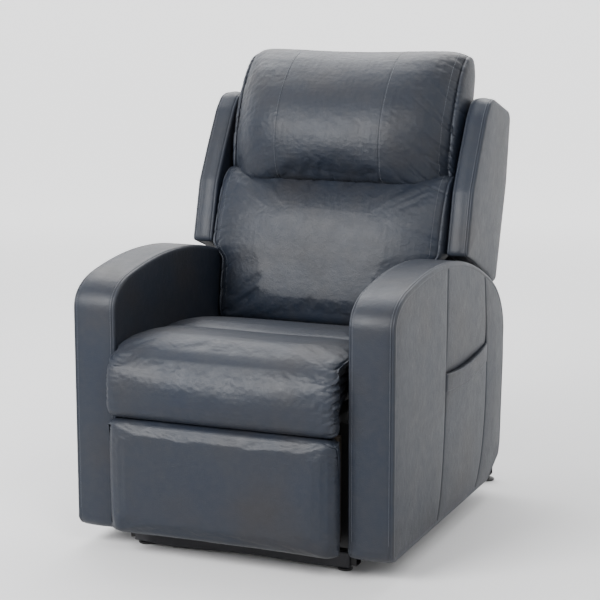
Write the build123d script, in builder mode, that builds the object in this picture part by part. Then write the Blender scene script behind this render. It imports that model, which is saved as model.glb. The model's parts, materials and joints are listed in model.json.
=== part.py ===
"""Lift recliner chair: upholstered body on a motor-driven lift base, with a footrest and reclining back.

Millimetres. The chair faces -Y, +Z is up, and the origin is on the floor under the middle of the whole
chair. Left and right are the sitter's, so left is +X. Side profiles are drawn in the YZ plane, and every
plate of the mechanism lies in its own lane, a pair of distances from the middle plane.
"""
import math
import os

from build123d import *

# ---- driving dimensions -------------------------------------------------------------------------
WIDTH = 760
ARM_FRONT = -433  # front plane of both arms
FOOTREST_FRONT = -483  # front plane of the seat roll and the closed footrest
BACK_REAR = 483  # rearmost point, at the top of the back

ARM_WIDTH = 101
ARM_OUTER = WIDTH / 2
ARM_INNER = ARM_OUTER - ARM_WIDTH
ARM_BOTTOM = 53
SEAT_HALF = 268  # half width of the seat and footrest pads
SPLIT_Z = 320  # level of the gap between seat roll and footrest

WING_OUTER = 363
WING_INNER = 303
BACK_LEAN = 15  # degrees from upright
CUSHION_HALF = 270  # half width of the lower back cushion between the arms
CUSHION_SHOULDER = 290  # its half width above the arms
SHOULDER_Z = 625  # level at which it widens
HEADREST_HALF = 283

# ---- mechanism pivots, in the side view (y, z) --------------------------------------------------
LIFT_PIVOT = (-230, 100)  # main lift link on the base
CARRIAGE_PIVOT = (90, 120)  # main lift link on the seat carriage
STAY_BASE_PIVOT = (-289.5, 107.9)
STAY_CARRIAGE_PIVOT = (-50.4, 137.3)
LIFT_MOTOR_PIVOT = (200.9, 40)
LIFT_CRANK_PIVOT = (-173.3, 189.9)
BACK_PIVOT = (150, 350)
BACK_MOTOR_PIVOT = (-120, 303.7)
BACK_CRANK_PIVOT = (205.8, 278.2)
FOOTREST_PIVOT = (-310, 305)
FOOTREST_LUG_PIVOT = (-378, 262)
FOOTREST_LINK = 190  # length of both footrest links

# ---- lanes: near and far distance of each plate from the middle plane ---------------------------
LANE_FOOT_B = (184, 190)
LANE_FOOT_A = (192, 198)
LANE_PLATE = (200, 205)
LANE_LINK = (207, 213)
LANE_BRACKET = (215, 220)
LANE_STAY = (222, 228)

# ---- stock sizes --------------------------------------------------------------------------------
TUBE = 30  # square tube of the base frame
TUBE_WALL = 2
TUBE_BOTTOM = 14
TUBE_TOP = TUBE_BOTTOM + TUBE
RAIL_INNER = 220
RAIL_MID = RAIL_INNER + TUBE / 2
FRONT_TUBE_Y = -360
REAR_TUBE_Y = 440
MOTOR_TUBE_Y = 240
FOOT_FRONT = (245, FRONT_TUBE_Y)
FOOT_REAR = (330, REAR_TUBE_Y)
FOOT_RADIUS = 17
FOOT_HEIGHT = 8
STEM_RADIUS = 5

RUNNING = 0.05  # radial clearance of every turning pin
PIN_SMALL = 5
PIN_MID = 7
PIN_LARGE = 8
MOTOR_PIN = 6
LINK_HALF = 12

SEAT_RAIL = (195, 225)
SEAT_RAIL_BOTTOM = 340
SEAT_RAIL_TOP = 368
SEAT_RAIL_REAR = 105
SEAT_RAIL_FRONT = -420
SEAT_RAIL_DEPTH = 28
SEAT_PAD_BOTTOM = 374

BOARD_BACK = -400
BOARD_FRONT = -415
BOARD_TOP = 312
PAD_BOTTOM = 62

os.makedirs("parts", exist_ok=True)


def keep(builder, label):
    """Name a finished piece and write it."""
    builder.part.label = label
    export_step(builder.part, f"parts/{label}.step")


def lane_start(side, lane):
    """Offset of the YZ plane from which a plate of this lane is extruded towards +X."""
    return lane[0] if side > 0 else -lane[1]


def side_name(stem, side):
    return f"{stem}_{'left' if side > 0 else 'right'}"


def along(start, end):
    """Unit vector of the side view from one pivot to another."""
    length = math.dist(start, end)
    return (end[0] - start[0]) / length, (end[1] - start[1]) / length


def knee(pivot, lug, length):
    """Knee of two equal links between two pivots, on the lower side."""
    across = math.dist(pivot, lug)
    rise = math.sqrt(length**2 - (across / 2) ** 2)
    dy, dz = along(pivot, lug)
    return (pivot[0] + lug[0]) / 2 - rise * dz, (pivot[1] + lug[1]) / 2 + rise * dy


def lean(y, z, up, out=0.0):
    """Point at a distance up the leaning back and out behind it, from a foot point in the side view."""
    turn = math.radians(BACK_LEAN)
    return (
        y + up * math.sin(turn) + out * math.cos(turn),
        z + up * math.cos(turn) - out * math.sin(turn),
    )


def link_bars(sides, lane, ends, radius, bores):
    """Flat links: round ends joined by straight edges, with a bore at each end, on one side or both."""
    with BuildPart() as bars:
        for side in sides:
            with BuildSketch(Plane.YZ.offset(lane_start(side, lane))):
                with Locations(*ends):
                    Circle(radius)
                make_hull()
                for end, bore in zip(ends, bores):
                    with Locations(end):
                        Circle(bore, mode=Mode.SUBTRACT)
            extrude(amount=lane[1] - lane[0])
    return bars


def cross_pins(pins):
    """Round pins across the chair, mirrored to both sides: (pivot, radius, near x, far x)."""
    with BuildPart() as group:
        for pivot, radius, near, far in pins:
            for start in (near, -far):
                with BuildSketch(Plane.YZ.offset(start)):
                    with Locations(pivot):
                        Circle(radius)
                extrude(amount=far - near)
    return group


def square_tube(plane, length):
    """Square tube with rounded corners, centred on the plane's origin and running along its normal."""
    with BuildPart() as tube:
        with BuildSketch(plane):
            RectangleRounded(TUBE, TUBE, 4)
            RectangleRounded(TUBE - 2 * TUBE_WALL, TUBE - 2 * TUBE_WALL, 2, mode=Mode.SUBTRACT)
        extrude(amount=length)
    return tube


def blocks(spans, z_span):
    """Boxes of one height, one solid for each (x span, y span)."""
    with BuildPart() as group:
        with BuildSketch(Plane.XY.offset(z_span[0])):
            for x_span, y_span in spans:
                with Locations((sum(x_span) / 2, sum(y_span) / 2)):
                    Rectangle(x_span[1] - x_span[0], y_span[1] - y_span[0])
        extrude(amount=z_span[1] - z_span[0])
    return group


def side_panels(panels):
    """Straight-edged side profiles extruded across, one solid for each (x span, points)."""
    with BuildPart() as group:
        for x_span, points in panels:
            with BuildSketch(Plane.YZ.offset(x_span[0])):
                with BuildLine():
                    Polyline(*points, close=True)
                make_face()
            extrude(amount=x_span[1] - x_span[0])
    return group


def both_sides(span):
    """The two x spans, left then right, of a pair of pieces."""
    return (span, (-span[1], -span[0]))


# ================================================================================================
# Base: floor frame, feet, pivot brackets, motor mount and power box
# ================================================================================================
TUBE_MID_Z = TUBE_BOTTOM + TUBE / 2
RAIL_START = FRONT_TUBE_Y + TUBE / 2
RAIL_END = REAR_TUBE_Y - TUBE / 2
FRONT_TUBE_HALF = 276
REAR_TUBE_HALF = 338

for side in (1, -1):
    rail_plane = Plane(origin=(side * RAIL_MID, RAIL_START, TUBE_MID_Z), x_dir=(1, 0, 0), z_dir=(0, 1, 0))
    keep(square_tube(rail_plane, RAIL_END - RAIL_START), side_name("base_rail", side))

for label, y, half in (
    ("base_front_tube", FRONT_TUBE_Y, FRONT_TUBE_HALF),
    ("base_rear_tube", REAR_TUBE_Y, REAR_TUBE_HALF),
    ("base_motor_tube", MOTOR_TUBE_Y, RAIL_INNER),
):
    tube_plane = Plane(origin=(-half, y, TUBE_MID_Z), x_dir=(0, 1, 0), z_dir=(1, 0, 0))
    keep(square_tube(tube_plane, 2 * half), label)

with BuildPart() as foot:
    with BuildSketch(Plane.XZ):
        with BuildLine():
            Polyline((0, 0), (FOOT_RADIUS - 2, 0), (FOOT_RADIUS, 2), (FOOT_RADIUS, 5))
            Line((FOOT_RADIUS, 5), (FOOT_RADIUS - 5, FOOT_HEIGHT))
            Line((FOOT_RADIUS - 5, FOOT_HEIGHT), (STEM_RADIUS, FOOT_HEIGHT))
            Line((STEM_RADIUS, FOOT_HEIGHT), (STEM_RADIUS, TUBE_BOTTOM))
            Polyline((STEM_RADIUS, TUBE_BOTTOM), (0, TUBE_BOTTOM), (0, 0))
        make_face()
    revolve(axis=Axis.Z)
with BuildPart() as feet:
    with Locations(*[(side * x, y, 0) for x, y in (FOOT_FRONT, FOOT_REAR) for side in (1, -1)]):
        add(foot.part)
keep(feet, "glide_feet")

BRACKET_FOOT = 9
with BuildPart() as brackets:
    for side in (1, -1):
        with BuildSketch(Plane.YZ.offset(lane_start(side, LANE_BRACKET))):
            with Locations(LIFT_PIVOT):
                Circle(20)
            with Locations(STAY_BASE_PIVOT):
                Circle(16)
            with Locations((-325, TUBE_BOTTOM + BRACKET_FOOT), (-190, TUBE_BOTTOM + BRACKET_FOOT)):
                Circle(BRACKET_FOOT)
            make_hull()
            with Locations(LIFT_PIVOT):
                Circle(PIN_LARGE + RUNNING, mode=Mode.SUBTRACT)
            with Locations(STAY_BASE_PIVOT):
                Circle(PIN_SMALL, mode=Mode.SUBTRACT)
        extrude(amount=LANE_BRACKET[1] - LANE_BRACKET[0])
keep(brackets, "base_pivot_brackets")

keep(cross_pins([(STAY_BASE_PIVOT, PIN_SMALL, LANE_BRACKET[0], LANE_STAY[1] + 2)]), "base_stay_pins")

EAR_NEAR = 14
EAR_FAR = 19
with BuildPart() as motor_mount:
    for start in (EAR_NEAR, -EAR_FAR):
        with BuildSketch(Plane.YZ.offset(start)):
            with Locations(LIFT_MOTOR_PIVOT):
                Circle(13)
            with Locations((MOTOR_TUBE_Y - TUBE / 2 - 2, TUBE_MID_Z)):
                Rectangle(4, TUBE)
            make_hull()
        extrude(amount=EAR_FAR - EAR_NEAR)
    with BuildSketch(Plane.YZ.offset(-EAR_FAR)):
        with Locations(LIFT_MOTOR_PIVOT):
            Circle(MOTOR_PIN)
    extrude(amount=2 * EAR_FAR)
    with BuildSketch(Plane.XZ.offset(-(MOTOR_TUBE_Y - TUBE / 2))):
        with Locations((0, TUBE_MID_Z)):
            Rectangle(60, TUBE)
    extrude(amount=4)
keep(motor_mount, "lift_motor_mount")

POWER_X = (-185, -60)
POWER_Y = (200, 285)
POWER_Z = (TUBE_TOP, TUBE_TOP + 42)
with BuildPart() as power_box:
    with BuildSketch(Plane.XY.offset(POWER_Z[0])):
        with Locations((sum(POWER_X) / 2, sum(POWER_Y) / 2)):
            Rectangle(POWER_X[1] - POWER_X[0], POWER_Y[1] - POWER_Y[0])
    extrude(amount=POWER_Z[1] - POWER_Z[0])
    fillet(power_box.edges().filter_by(Axis.Z), 8)
    fillet(power_box.faces().sort_by(Axis.Z)[-1].edges(), 4)
    with BuildSketch(Plane.XZ.offset(-POWER_Y[1])):
        with Locations((POWER_X[0] + 40, sum(POWER_Z) / 2)):
            RectangleRounded(24, 18, 3)
    extrude(amount=14, mode=Mode.SUBTRACT)
keep(power_box, "power_box")

with BuildPart() as power_inlet:
    with BuildSketch(Plane.XZ.offset(-POWER_Y[1])):
        with Locations((POWER_X[0] + 40, sum(POWER_Z) / 2)):
            RectangleRounded(24, 18, 3)
            RectangleRounded(18, 12, 2, mode=Mode.SUBTRACT)
    extrude(amount=14)
    with BuildSketch(Plane.XZ.offset(-POWER_Y[1] + 12)):
        with Locations((POWER_X[0] + 40, sum(POWER_Z) / 2)):
            Rectangle(19, 13)
    extrude(amount=2)
keep(power_inlet, "power_inlet")

APRON_HALF = 262
APRON_Y = (FRONT_TUBE_Y - TUBE / 2 - 2, FRONT_TUBE_Y - TUBE / 2)
keep(blocks([((-APRON_HALF, APRON_HALF), APRON_Y)], (TUBE_BOTTOM, TUBE_TOP)), "dust_cloth")

# ================================================================================================
# Lift links: main links with their torque tube and crank, stays and lift motor
# ================================================================================================
MAIN_BORES = (PIN_LARGE, PIN_MID + RUNNING)
STAY_BORES = (PIN_SMALL + RUNNING, PIN_SMALL + 3)
for side in (1, -1):
    main_link = link_bars([side], LANE_LINK, (LIFT_PIVOT, CARRIAGE_PIVOT), LINK_HALF, MAIN_BORES)
    keep(main_link, side_name("lift_link", side))
stay_ends = (STAY_BASE_PIVOT, STAY_CARRIAGE_PIVOT)
keep(link_bars((1, -1), LANE_STAY, stay_ends, LINK_HALF, STAY_BORES), "lift_stays")

TORQUE_RADIUS = 12.5
with BuildPart() as torque_tube:
    with BuildSketch(Plane.YZ.offset(-LANE_LINK[0])):
        with Locations(LIFT_PIVOT):
            Circle(TORQUE_RADIUS)
    extrude(amount=2 * LANE_LINK[0])
    with BuildSketch(Plane.YZ.offset(-LANE_BRACKET[1] - 1)):
        with Locations(LIFT_PIVOT):
            Circle(PIN_LARGE)
    extrude(amount=2 * (LANE_BRACKET[1] + 1))
keep(torque_tube, "lift_torque_tube")

CRANK_NEAR = 11
CRANK_FAR = 17
with BuildPart() as crank:
    for start in (CRANK_NEAR, -CRANK_FAR):
        with BuildSketch(Plane.YZ.offset(start)):
            with Locations(LIFT_PIVOT):
                Circle(22)
            with Locations(LIFT_CRANK_PIVOT):
                Circle(13)
            make_hull()
            with Locations(LIFT_PIVOT):
                Circle(TORQUE_RADIUS, mode=Mode.SUBTRACT)
        extrude(amount=CRANK_FAR - CRANK_NEAR)
    with BuildSketch(Plane.YZ.offset(-CRANK_FAR)):
        with Locations(LIFT_CRANK_PIVOT):
            Circle(MOTOR_PIN)
    extrude(amount=2 * CRANK_FAR)
keep(crank, "lift_crank")


def motor_plane(start, end, distance):
    """Plane square to a motor's axis, at a distance from its rear pivot; local x runs across the chair."""
    dy, dz = along(start, end)
    origin = (0, start[0] + distance * dy, start[1] + distance * dz)
    return Plane(origin=origin, x_dir=(1, 0, 0), z_dir=(0, dy, dz))


ROD_RADIUS = 10
EYE_HALF = 8.5
OUTER_TUBE_RADIUS = 20
MOTOR_RADIUS = 27
LUG_HALF = 12.5
GEARBOX_START = 26
GEARBOX_END = 84


def motor_parts(stem, start, end, tube_end, rod_start, slot, motor_side):
    """One linear actuator: gearbox with motor, outer tube, and rod with a slotted eye."""
    length = math.dist(start, end)
    with BuildPart() as gearbox:
        with BuildSketch(Plane.YZ.offset(-LUG_HALF)):
            with Locations(start):
                Circle(12)
        extrude(amount=2 * LUG_HALF)
        with BuildSketch(motor_plane(start, end, 0)):
            Rectangle(2 * LUG_HALF, 22)
        extrude(amount=GEARBOX_START + 1)
        with BuildSketch(motor_plane(start, end, GEARBOX_START)):
            RectangleRounded(58, 50, 10)
        extrude(amount=GEARBOX_END - GEARBOX_START)
        with BuildSketch(Plane.YZ.offset(-LUG_HALF - 1)):
            with Locations(start):
                Circle(MOTOR_PIN + RUNNING)
        extrude(amount=2 * LUG_HALF + 2, mode=Mode.SUBTRACT)
    keep(gearbox, f"{stem}_gearbox")

    can_from, can_to = (29, 118) if motor_side > 0 else (-118, -29)
    dy, dz = along(start, end)
    middle = (GEARBOX_START + GEARBOX_END) / 2
    with BuildPart() as can:
        with BuildSketch(Plane.YZ.offset(can_from)):
            with Locations((start[0] + middle * dy, start[1] + middle * dz)):
                Circle(MOTOR_RADIUS - 3)
        extrude(amount=can_to - can_from)
        fillet(can.edges().filter_by(GeomType.CIRCLE), 4)
    keep(can, f"{stem}_motor")

    with BuildPart() as tube:
        with BuildSketch(motor_plane(start, end, GEARBOX_END)):
            Circle(OUTER_TUBE_RADIUS)
            Circle(ROD_RADIUS + RUNNING, mode=Mode.SUBTRACT)
        extrude(amount=tube_end - GEARBOX_END)
    keep(tube, f"{stem}_tube")

    along_slot, across_slot = slot
    eye_radius = MOTOR_PIN + max(slot) + 6
    with BuildPart() as rod:
        with BuildSketch(motor_plane(start, end, rod_start)):
            Circle(ROD_RADIUS)
        extrude(amount=length - rod_start - eye_radius + 4)
        with BuildSketch(Plane.YZ.offset(-EYE_HALF)):
            with Locations(end):
                Circle(eye_radius)
        extrude(amount=2 * EYE_HALF)
        with BuildSketch(motor_plane(start, end, length - MOTOR_PIN - along_slot)):
            Rectangle(2 * ROD_RADIUS + 2, 2 * (MOTOR_PIN + across_slot))
        extrude(amount=2 * (MOTOR_PIN + along_slot), mode=Mode.SUBTRACT)
    keep(rod, f"{stem}_rod")


# the lift motor's rod starts drawn in, the back motor's starts run out and draws in to recline
motor_parts("lift_motor", LIFT_MOTOR_PIVOT, LIFT_CRANK_PIVOT, 245, 90, (4.5, 10.5), 1)
motor_parts("back_motor", BACK_MOTOR_PIVOT, BACK_CRANK_PIVOT, 180, 144, (2.5, 4), -1)

# ================================================================================================
# Seat carriage: side plates, seat frame, springs, seat pad, arms, pocket and handset
# ================================================================================================
for side in (1, -1):
    with BuildPart() as plate:
        with BuildSketch(Plane.YZ.offset(lane_start(side, LANE_PLATE))):
            with Locations(CARRIAGE_PIVOT, STAY_CARRIAGE_PIVOT, BACK_PIVOT):
                Circle(20)
            with Locations((-330, 322), (80, 322), FOOTREST_PIVOT):
                Circle(18)
            make_hull()
            with Locations(CARRIAGE_PIVOT):
                Circle(PIN_MID, mode=Mode.SUBTRACT)
            with Locations(STAY_CARRIAGE_PIVOT):
                Circle(PIN_SMALL, mode=Mode.SUBTRACT)
            with Locations(BACK_PIVOT):
                Circle(PIN_LARGE + RUNNING, mode=Mode.SUBTRACT)
            with Locations(FOOTREST_PIVOT):
                Circle(PIN_MID + RUNNING, mode=Mode.SUBTRACT)
            with Locations((-160, 275), (20, 240)):
                Circle(26, mode=Mode.SUBTRACT)
            with Locations((-150, SEAT_RAIL_BOTTOM + 50)):
                Rectangle(2 * (SEAT_RAIL_REAR + 155), 100, mode=Mode.SUBTRACT)
        extrude(amount=LANE_PLATE[1] - LANE_PLATE[0])
    keep(plate, side_name("side_plate", side))

pins = [
    (CARRIAGE_PIVOT, PIN_MID, LANE_PLATE[0], LANE_LINK[1] + 1.5),
    (STAY_CARRIAGE_PIVOT, PIN_SMALL, LANE_PLATE[0], LANE_STAY[1] + 2),
]
keep(cross_pins(pins), "carriage_pins")

rail_z = (SEAT_RAIL_BOTTOM, SEAT_RAIL_TOP)
long_y = (SEAT_RAIL_FRONT, SEAT_RAIL_REAR)
keep(blocks([(span, long_y) for span in both_sides(SEAT_RAIL)], rail_z), "seat_side_rails")
inner_x = (-SEAT_RAIL[0], SEAT_RAIL[0])
middle_y = BACK_MOTOR_PIVOT[0] - SEAT_RAIL_DEPTH / 2
cross_starts = (SEAT_RAIL_FRONT, middle_y, SEAT_RAIL_REAR - SEAT_RAIL_DEPTH)
keep(blocks([(inner_x, (y, y + SEAT_RAIL_DEPTH)) for y in cross_starts], rail_z), "seat_cross_rails")

with BuildPart() as back_motor_mount:
    for start in (EAR_NEAR, -EAR_FAR):
        with BuildSketch(Plane.YZ.offset(start)):
            with Locations(BACK_MOTOR_PIVOT):
                Circle(12)
            with Locations((BACK_MOTOR_PIVOT[0], SEAT_RAIL_BOTTOM - 3)):
                Rectangle(SEAT_RAIL_DEPTH, 6)
            make_hull()
        extrude(amount=EAR_FAR - EAR_NEAR)
    with BuildSketch(Plane.YZ.offset(-EAR_FAR)):
        with Locations(BACK_MOTOR_PIVOT):
            Circle(MOTOR_PIN)
    extrude(amount=2 * EAR_FAR)
keep(back_motor_mount, "back_motor_mount")

WIRE = 1.75
SPRING_PITCH = 40
SPRING_SWAY = 22
SPRING_Z = SEAT_RAIL_TOP + WIRE + 0.5
SPRING_ROWS = (-140, -70, 0, 70, 140)
with BuildPart() as springs:
    for row in SPRING_ROWS:
        start_y = SEAT_RAIL_FRONT + 10
        turns = int((SEAT_RAIL_REAR - 20 - start_y) / SPRING_PITCH)
        corners = [(row, start_y, SPRING_Z)]
        for turn in range(turns):
            sway = SPRING_SWAY if turn % 2 else -SPRING_SWAY
            corners.append((row + sway, start_y + (turn + 0.15) * SPRING_PITCH, SPRING_Z))
            corners.append((row + sway, start_y + (turn + 0.85) * SPRING_PITCH, SPRING_Z))
        corners.append((row, start_y + turns * SPRING_PITCH, SPRING_Z))
        with BuildLine() as wire_path:
            FilletPolyline(*corners[1:-1], radius=5)
        with BuildSketch(Plane(origin=wire_path.line @ 0, z_dir=wire_path.line % 0)):
            Circle(WIRE)
        sweep(path=wire_path.line)
keep(springs, "seat_springs")

SEAT_REAR = 70
SEAT_CREST = 490
ROLL_RADIUS = 55
LIP_REAR = SEAT_RAIL_FRONT - 3
with BuildPart() as seat:
    with BuildSketch(Plane.YZ.offset(-SEAT_HALF)) as seat_profile:
        with BuildLine():
            Polyline(
                (SEAT_REAR, SEAT_PAD_BOTTOM),
                (LIP_REAR, SEAT_PAD_BOTTOM),
                (LIP_REAR, SPLIT_Z + 4),
                (FOOTREST_FRONT + 14, SPLIT_Z + 4),
                (FOOTREST_FRONT, SPLIT_Z + 18),
                (FOOTREST_FRONT, SEAT_CREST),
                (-300, 486),
                (30, 454),
                (SEAT_REAR, 450),
                close=True,
            )
        make_face()
        fillet(seat_profile.vertices().sort_by(lambda v: v.X - v.Y)[0], ROLL_RADIUS)
    extrude(amount=2 * SEAT_HALF)
keep(seat, "seat_cushion")

ARM_TOP = [
    (ARM_FRONT, 540),
    (-425, 580),
    (-390, 608),
    (-325, 627),
    (-206, 643),
    (-64, 644),
    (106, 617),
    (230, 574),
    (328, 520),
    (375, 460),
    (386, 415),
]
POCKET_Y = (-85, 238)
POCKET_MOUTH = 402
POCKET_BOTTOM = 150
POCKET_GAP = (344, 372)
POCKET_CEILING = 438
FRAME_X = (312, 330)  # timber panel inside each arm
FRAME_SLOT = (311.5, 330.5)
FRAME_OUTLINE = [(-395, ARM_BOTTOM + 2), (-395, 530), (-330, 585), (-200, 605), (0, 600), (170, 550)]
FRAME_OUTLINE += [(315, 460), (335, 330), (325, 130), (255, ARM_BOTTOM + 2)]


def arm(side):
    """Upholstered arm: one side profile, open below for its timber frame; the left one has the pocket."""
    x_from = ARM_INNER if side > 0 else -ARM_OUTER
    with BuildPart() as body:
        with BuildSketch(Plane.YZ.offset(x_from)):
            with BuildLine():
                Line((ARM_FRONT, ARM_BOTTOM + 12), (ARM_FRONT, 540))
                Spline(*ARM_TOP)
                Polyline((386, 415), (374, 242), (367, 129), (355, 97), (279, 71), (262, ARM_BOTTOM))
                Line((262, ARM_BOTTOM), (ARM_FRONT + 12, ARM_BOTTOM))
                Line((ARM_FRONT + 12, ARM_BOTTOM), (ARM_FRONT, ARM_BOTTOM + 12))
            make_face()
        extrude(amount=ARM_WIDTH)
        fillet(body.faces().filter_by(Axis.X).edges(), 7)
        with BuildSketch(Plane.YZ.offset(lane_start(side, FRAME_SLOT))):
            with BuildLine():
                Polyline(*FRAME_OUTLINE, close=True)
            make_face()
            offset(amount=1)
            with Locations((-70, ARM_BOTTOM)):
                Rectangle(650, 6)
        extrude(amount=FRAME_SLOT[1] - FRAME_SLOT[0], mode=Mode.SUBTRACT)
        if side > 0:
            with BuildSketch(Plane.YZ.offset(POCKET_GAP[0])):
                with Locations((sum(POCKET_Y) / 2, (POCKET_BOTTOM + POCKET_CEILING) / 2)):
                    Rectangle(POCKET_Y[1] - POCKET_Y[0], POCKET_CEILING - POCKET_BOTTOM)
            extrude(amount=ARM_OUTER - POCKET_GAP[0] + 1, mode=Mode.SUBTRACT)
    return body


for side in (1, -1):
    keep(arm(side), side_name("arm_pad", side))
keep(side_panels([(span, FRAME_OUTLINE) for span in both_sides(FRAME_X)]), "arm_frames")

ARM_BRACKET_Z = (232, 263)
ARM_BRACKET_ROWS = (-140, 40)
PLATE_STEEL = 5
# thin black shields on the arms, behind the slots beside the footrest
SHIELD_INNER = 233
SHIELD_Y = -386
SHIELD_Z = (58, 336)
with BuildPart() as arm_brackets:
    for bracket_y in ARM_BRACKET_ROWS:
        for near, far in both_sides((LANE_PLATE[1], ARM_INNER)):
            with BuildSketch(Plane.XZ.offset(-bracket_y - 22)):
                with BuildLine():
                    Polyline(
                        (near, ARM_BRACKET_Z[0]),
                        (near, ARM_BRACKET_Z[1]),
                        (far, ARM_BRACKET_Z[1]),
                        (far, ARM_BRACKET_Z[0]),
                        (far - PLATE_STEEL, ARM_BRACKET_Z[0]),
                        (far - PLATE_STEEL, ARM_BRACKET_Z[1] - PLATE_STEEL),
                        (near + PLATE_STEEL, ARM_BRACKET_Z[1] - PLATE_STEEL),
                        (near + PLATE_STEEL, ARM_BRACKET_Z[0]),
                        close=True,
                    )
                make_face()
            extrude(amount=44)
    for near, far in both_sides((SHIELD_INNER, ARM_INNER)):
        with BuildSketch(Plane.XZ.offset(-SHIELD_Y)):
            with Locations(((near + far) / 2, (SHIELD_Z[0] + SHIELD_Z[1]) / 2)):
                Rectangle(far - near, SHIELD_Z[1] - SHIELD_Z[0])
        extrude(amount=2)
keep(arm_brackets, "arm_brackets")

with BuildPart() as pocket_panel:
    with BuildSketch(Plane.YZ.offset(POCKET_GAP[1])):
        with BuildLine():
            Line((POCKET_Y[0] + 1, POCKET_BOTTOM + 1), (POCKET_Y[0] + 1, POCKET_MOUTH))
            ThreePointArc((POCKET_Y[0] + 1, POCKET_MOUTH), (80, 391), (POCKET_Y[1] - 1, POCKET_MOUTH))
            Line((POCKET_Y[1] - 1, POCKET_MOUTH), (POCKET_Y[1] - 1, POCKET_BOTTOM + 1))
            Line((POCKET_Y[1] - 1, POCKET_BOTTOM + 1), (POCKET_Y[0] + 1, POCKET_BOTTOM + 1))
        make_face()
    extrude(amount=ARM_OUTER - POCKET_GAP[1])
keep(pocket_panel, "side_pocket")

HANDSET_X = (346, 366)
HANDSET_Y = (176, 224)
HANDSET_Z = (POCKET_BOTTOM + 0.5, 322)
with BuildPart() as handset:
    with BuildSketch(Plane.XY.offset(HANDSET_Z[0])):
        with Locations((sum(HANDSET_X) / 2, sum(HANDSET_Y) / 2)):
            RectangleRounded(HANDSET_X[1] - HANDSET_X[0], HANDSET_Y[1] - HANDSET_Y[0], 7)
    extrude(amount=HANDSET_Z[1] - HANDSET_Z[0])
    fillet(handset.faces().sort_by(Axis.Z)[-1].edges(), 5)
    for row in range(2):
        for column in (-1, 1):
            with BuildSketch(Plane.YZ.offset(HANDSET_X[1] - 4)):
                with Locations((200 + column * 10, 290 - row * 30)):
                    Circle(7)
            extrude(amount=5, mode=Mode.SUBTRACT)
keep(handset, "handset_case")

for row, action in enumerate(("lift", "recline")):
    for column, way in ((-1, "down"), (1, "up")):
        with BuildPart() as button:
            with BuildSketch(Plane.YZ.offset(HANDSET_X[1] - 2.4)):
                with Locations((200 + column * 10, 290 - row * 30)):
                    Circle(6.7)
            extrude(amount=4)
            fillet(button.faces().sort_by(Axis.X)[-1].edges(), 1)
        keep(button, f"button_{action}_{way}")

# ================================================================================================
# Footrest: two pairs of links, torque tube, board and pad
# ================================================================================================
KNEE = knee(FOOTREST_PIVOT, FOOTREST_LUG_PIVOT, FOOTREST_LINK)
drive_ends = (FOOTREST_PIVOT, KNEE)
push_ends = (KNEE, FOOTREST_LUG_PIVOT)
PUSH_BORES = (PIN_SMALL + RUNNING, PIN_SMALL + RUNNING)
drive_links = link_bars((1, -1), LANE_FOOT_A, drive_ends, LINK_HALF, (PIN_MID, PIN_SMALL))
keep(drive_links, "footrest_drive_links")
keep(link_bars((1, -1), LANE_FOOT_B, push_ends, LINK_HALF, PUSH_BORES), "footrest_push_links")

with BuildPart() as footrest_tube:
    with BuildSketch(Plane.YZ.offset(-LANE_FOOT_A[0])):
        with Locations(FOOTREST_PIVOT):
            Circle(11)
    extrude(amount=2 * LANE_FOOT_A[0])
    with BuildSketch(Plane.YZ.offset(-LANE_PLATE[1] - 1)):
        with Locations(FOOTREST_PIVOT):
            Circle(PIN_MID)
    extrude(amount=2 * (LANE_PLATE[1] + 1))
keep(footrest_tube, "footrest_torque_tube")
keep(cross_pins([(KNEE, PIN_SMALL, LANE_FOOT_B[0] - 1, LANE_FOOT_A[1])]), "footrest_knee_pins")

with BuildPart() as lugs:
    for side in (1, -1):
        with BuildSketch(Plane.YZ.offset(lane_start(side, LANE_FOOT_A))):
            with Locations(FOOTREST_LUG_PIVOT):
                Circle(LINK_HALF)
            with Locations((BOARD_BACK + 2, FOOTREST_LUG_PIVOT[1])):
                Rectangle(4, 80)
            make_hull()
        extrude(amount=LANE_FOOT_A[1] - LANE_FOOT_A[0])
        pin_from = LANE_FOOT_B[0] - 1 if side > 0 else -LANE_FOOT_A[0]
        with BuildSketch(Plane.YZ.offset(pin_from)):
            with Locations(FOOTREST_LUG_PIVOT):
                Circle(PIN_SMALL)
        extrude(amount=LANE_FOOT_A[0] - LANE_FOOT_B[0] + 1)
keep(lugs, "footrest_lugs")

board_span = ((-SEAT_HALF + 18, SEAT_HALF - 18), (BOARD_FRONT, BOARD_BACK))
keep(blocks([board_span], (PAD_BOTTOM + 14, BOARD_TOP)), "footrest_board")

with BuildPart() as footrest_pad:
    with BuildSketch(Plane.YZ.offset(-SEAT_HALF)) as pad_profile:
        with Locations(((FOOTREST_FRONT + BOARD_FRONT - 0.5) / 2, (PAD_BOTTOM + SPLIT_Z - 5) / 2)):
            Rectangle(BOARD_FRONT - 0.5 - FOOTREST_FRONT, SPLIT_Z - 5 - PAD_BOTTOM)
        fillet(pad_profile.vertices().sort_by(Axis.X)[:2], 24)
    extrude(amount=2 * SEAT_HALF)
keep(footrest_pad, "footrest_pad")

# ================================================================================================
# Back: pivot brackets, frame, webbing, cushions, wings and outer back panel
# ================================================================================================
UPRIGHT = (198, 226)
UPRIGHT_DEPTH = 30
UPRIGHT_FOOT = (162, 392)
UPRIGHT_LENGTH = 590
with BuildPart() as back_brackets:
    for side in (1, -1):
        with BuildSketch(Plane.YZ.offset(lane_start(side, LANE_FOOT_A))):
            with Locations(BACK_PIVOT):
                Circle(20)
            with Locations(lean(*UPRIGHT_FOOT, 20, 15), lean(*UPRIGHT_FOOT, 110, 15)):
                Circle(13)
            make_hull()
            with Locations(BACK_PIVOT):
                Circle(PIN_LARGE, mode=Mode.SUBTRACT)
        extrude(amount=LANE_FOOT_A[1] - LANE_FOOT_A[0])
keep(back_brackets, "back_brackets")

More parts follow.
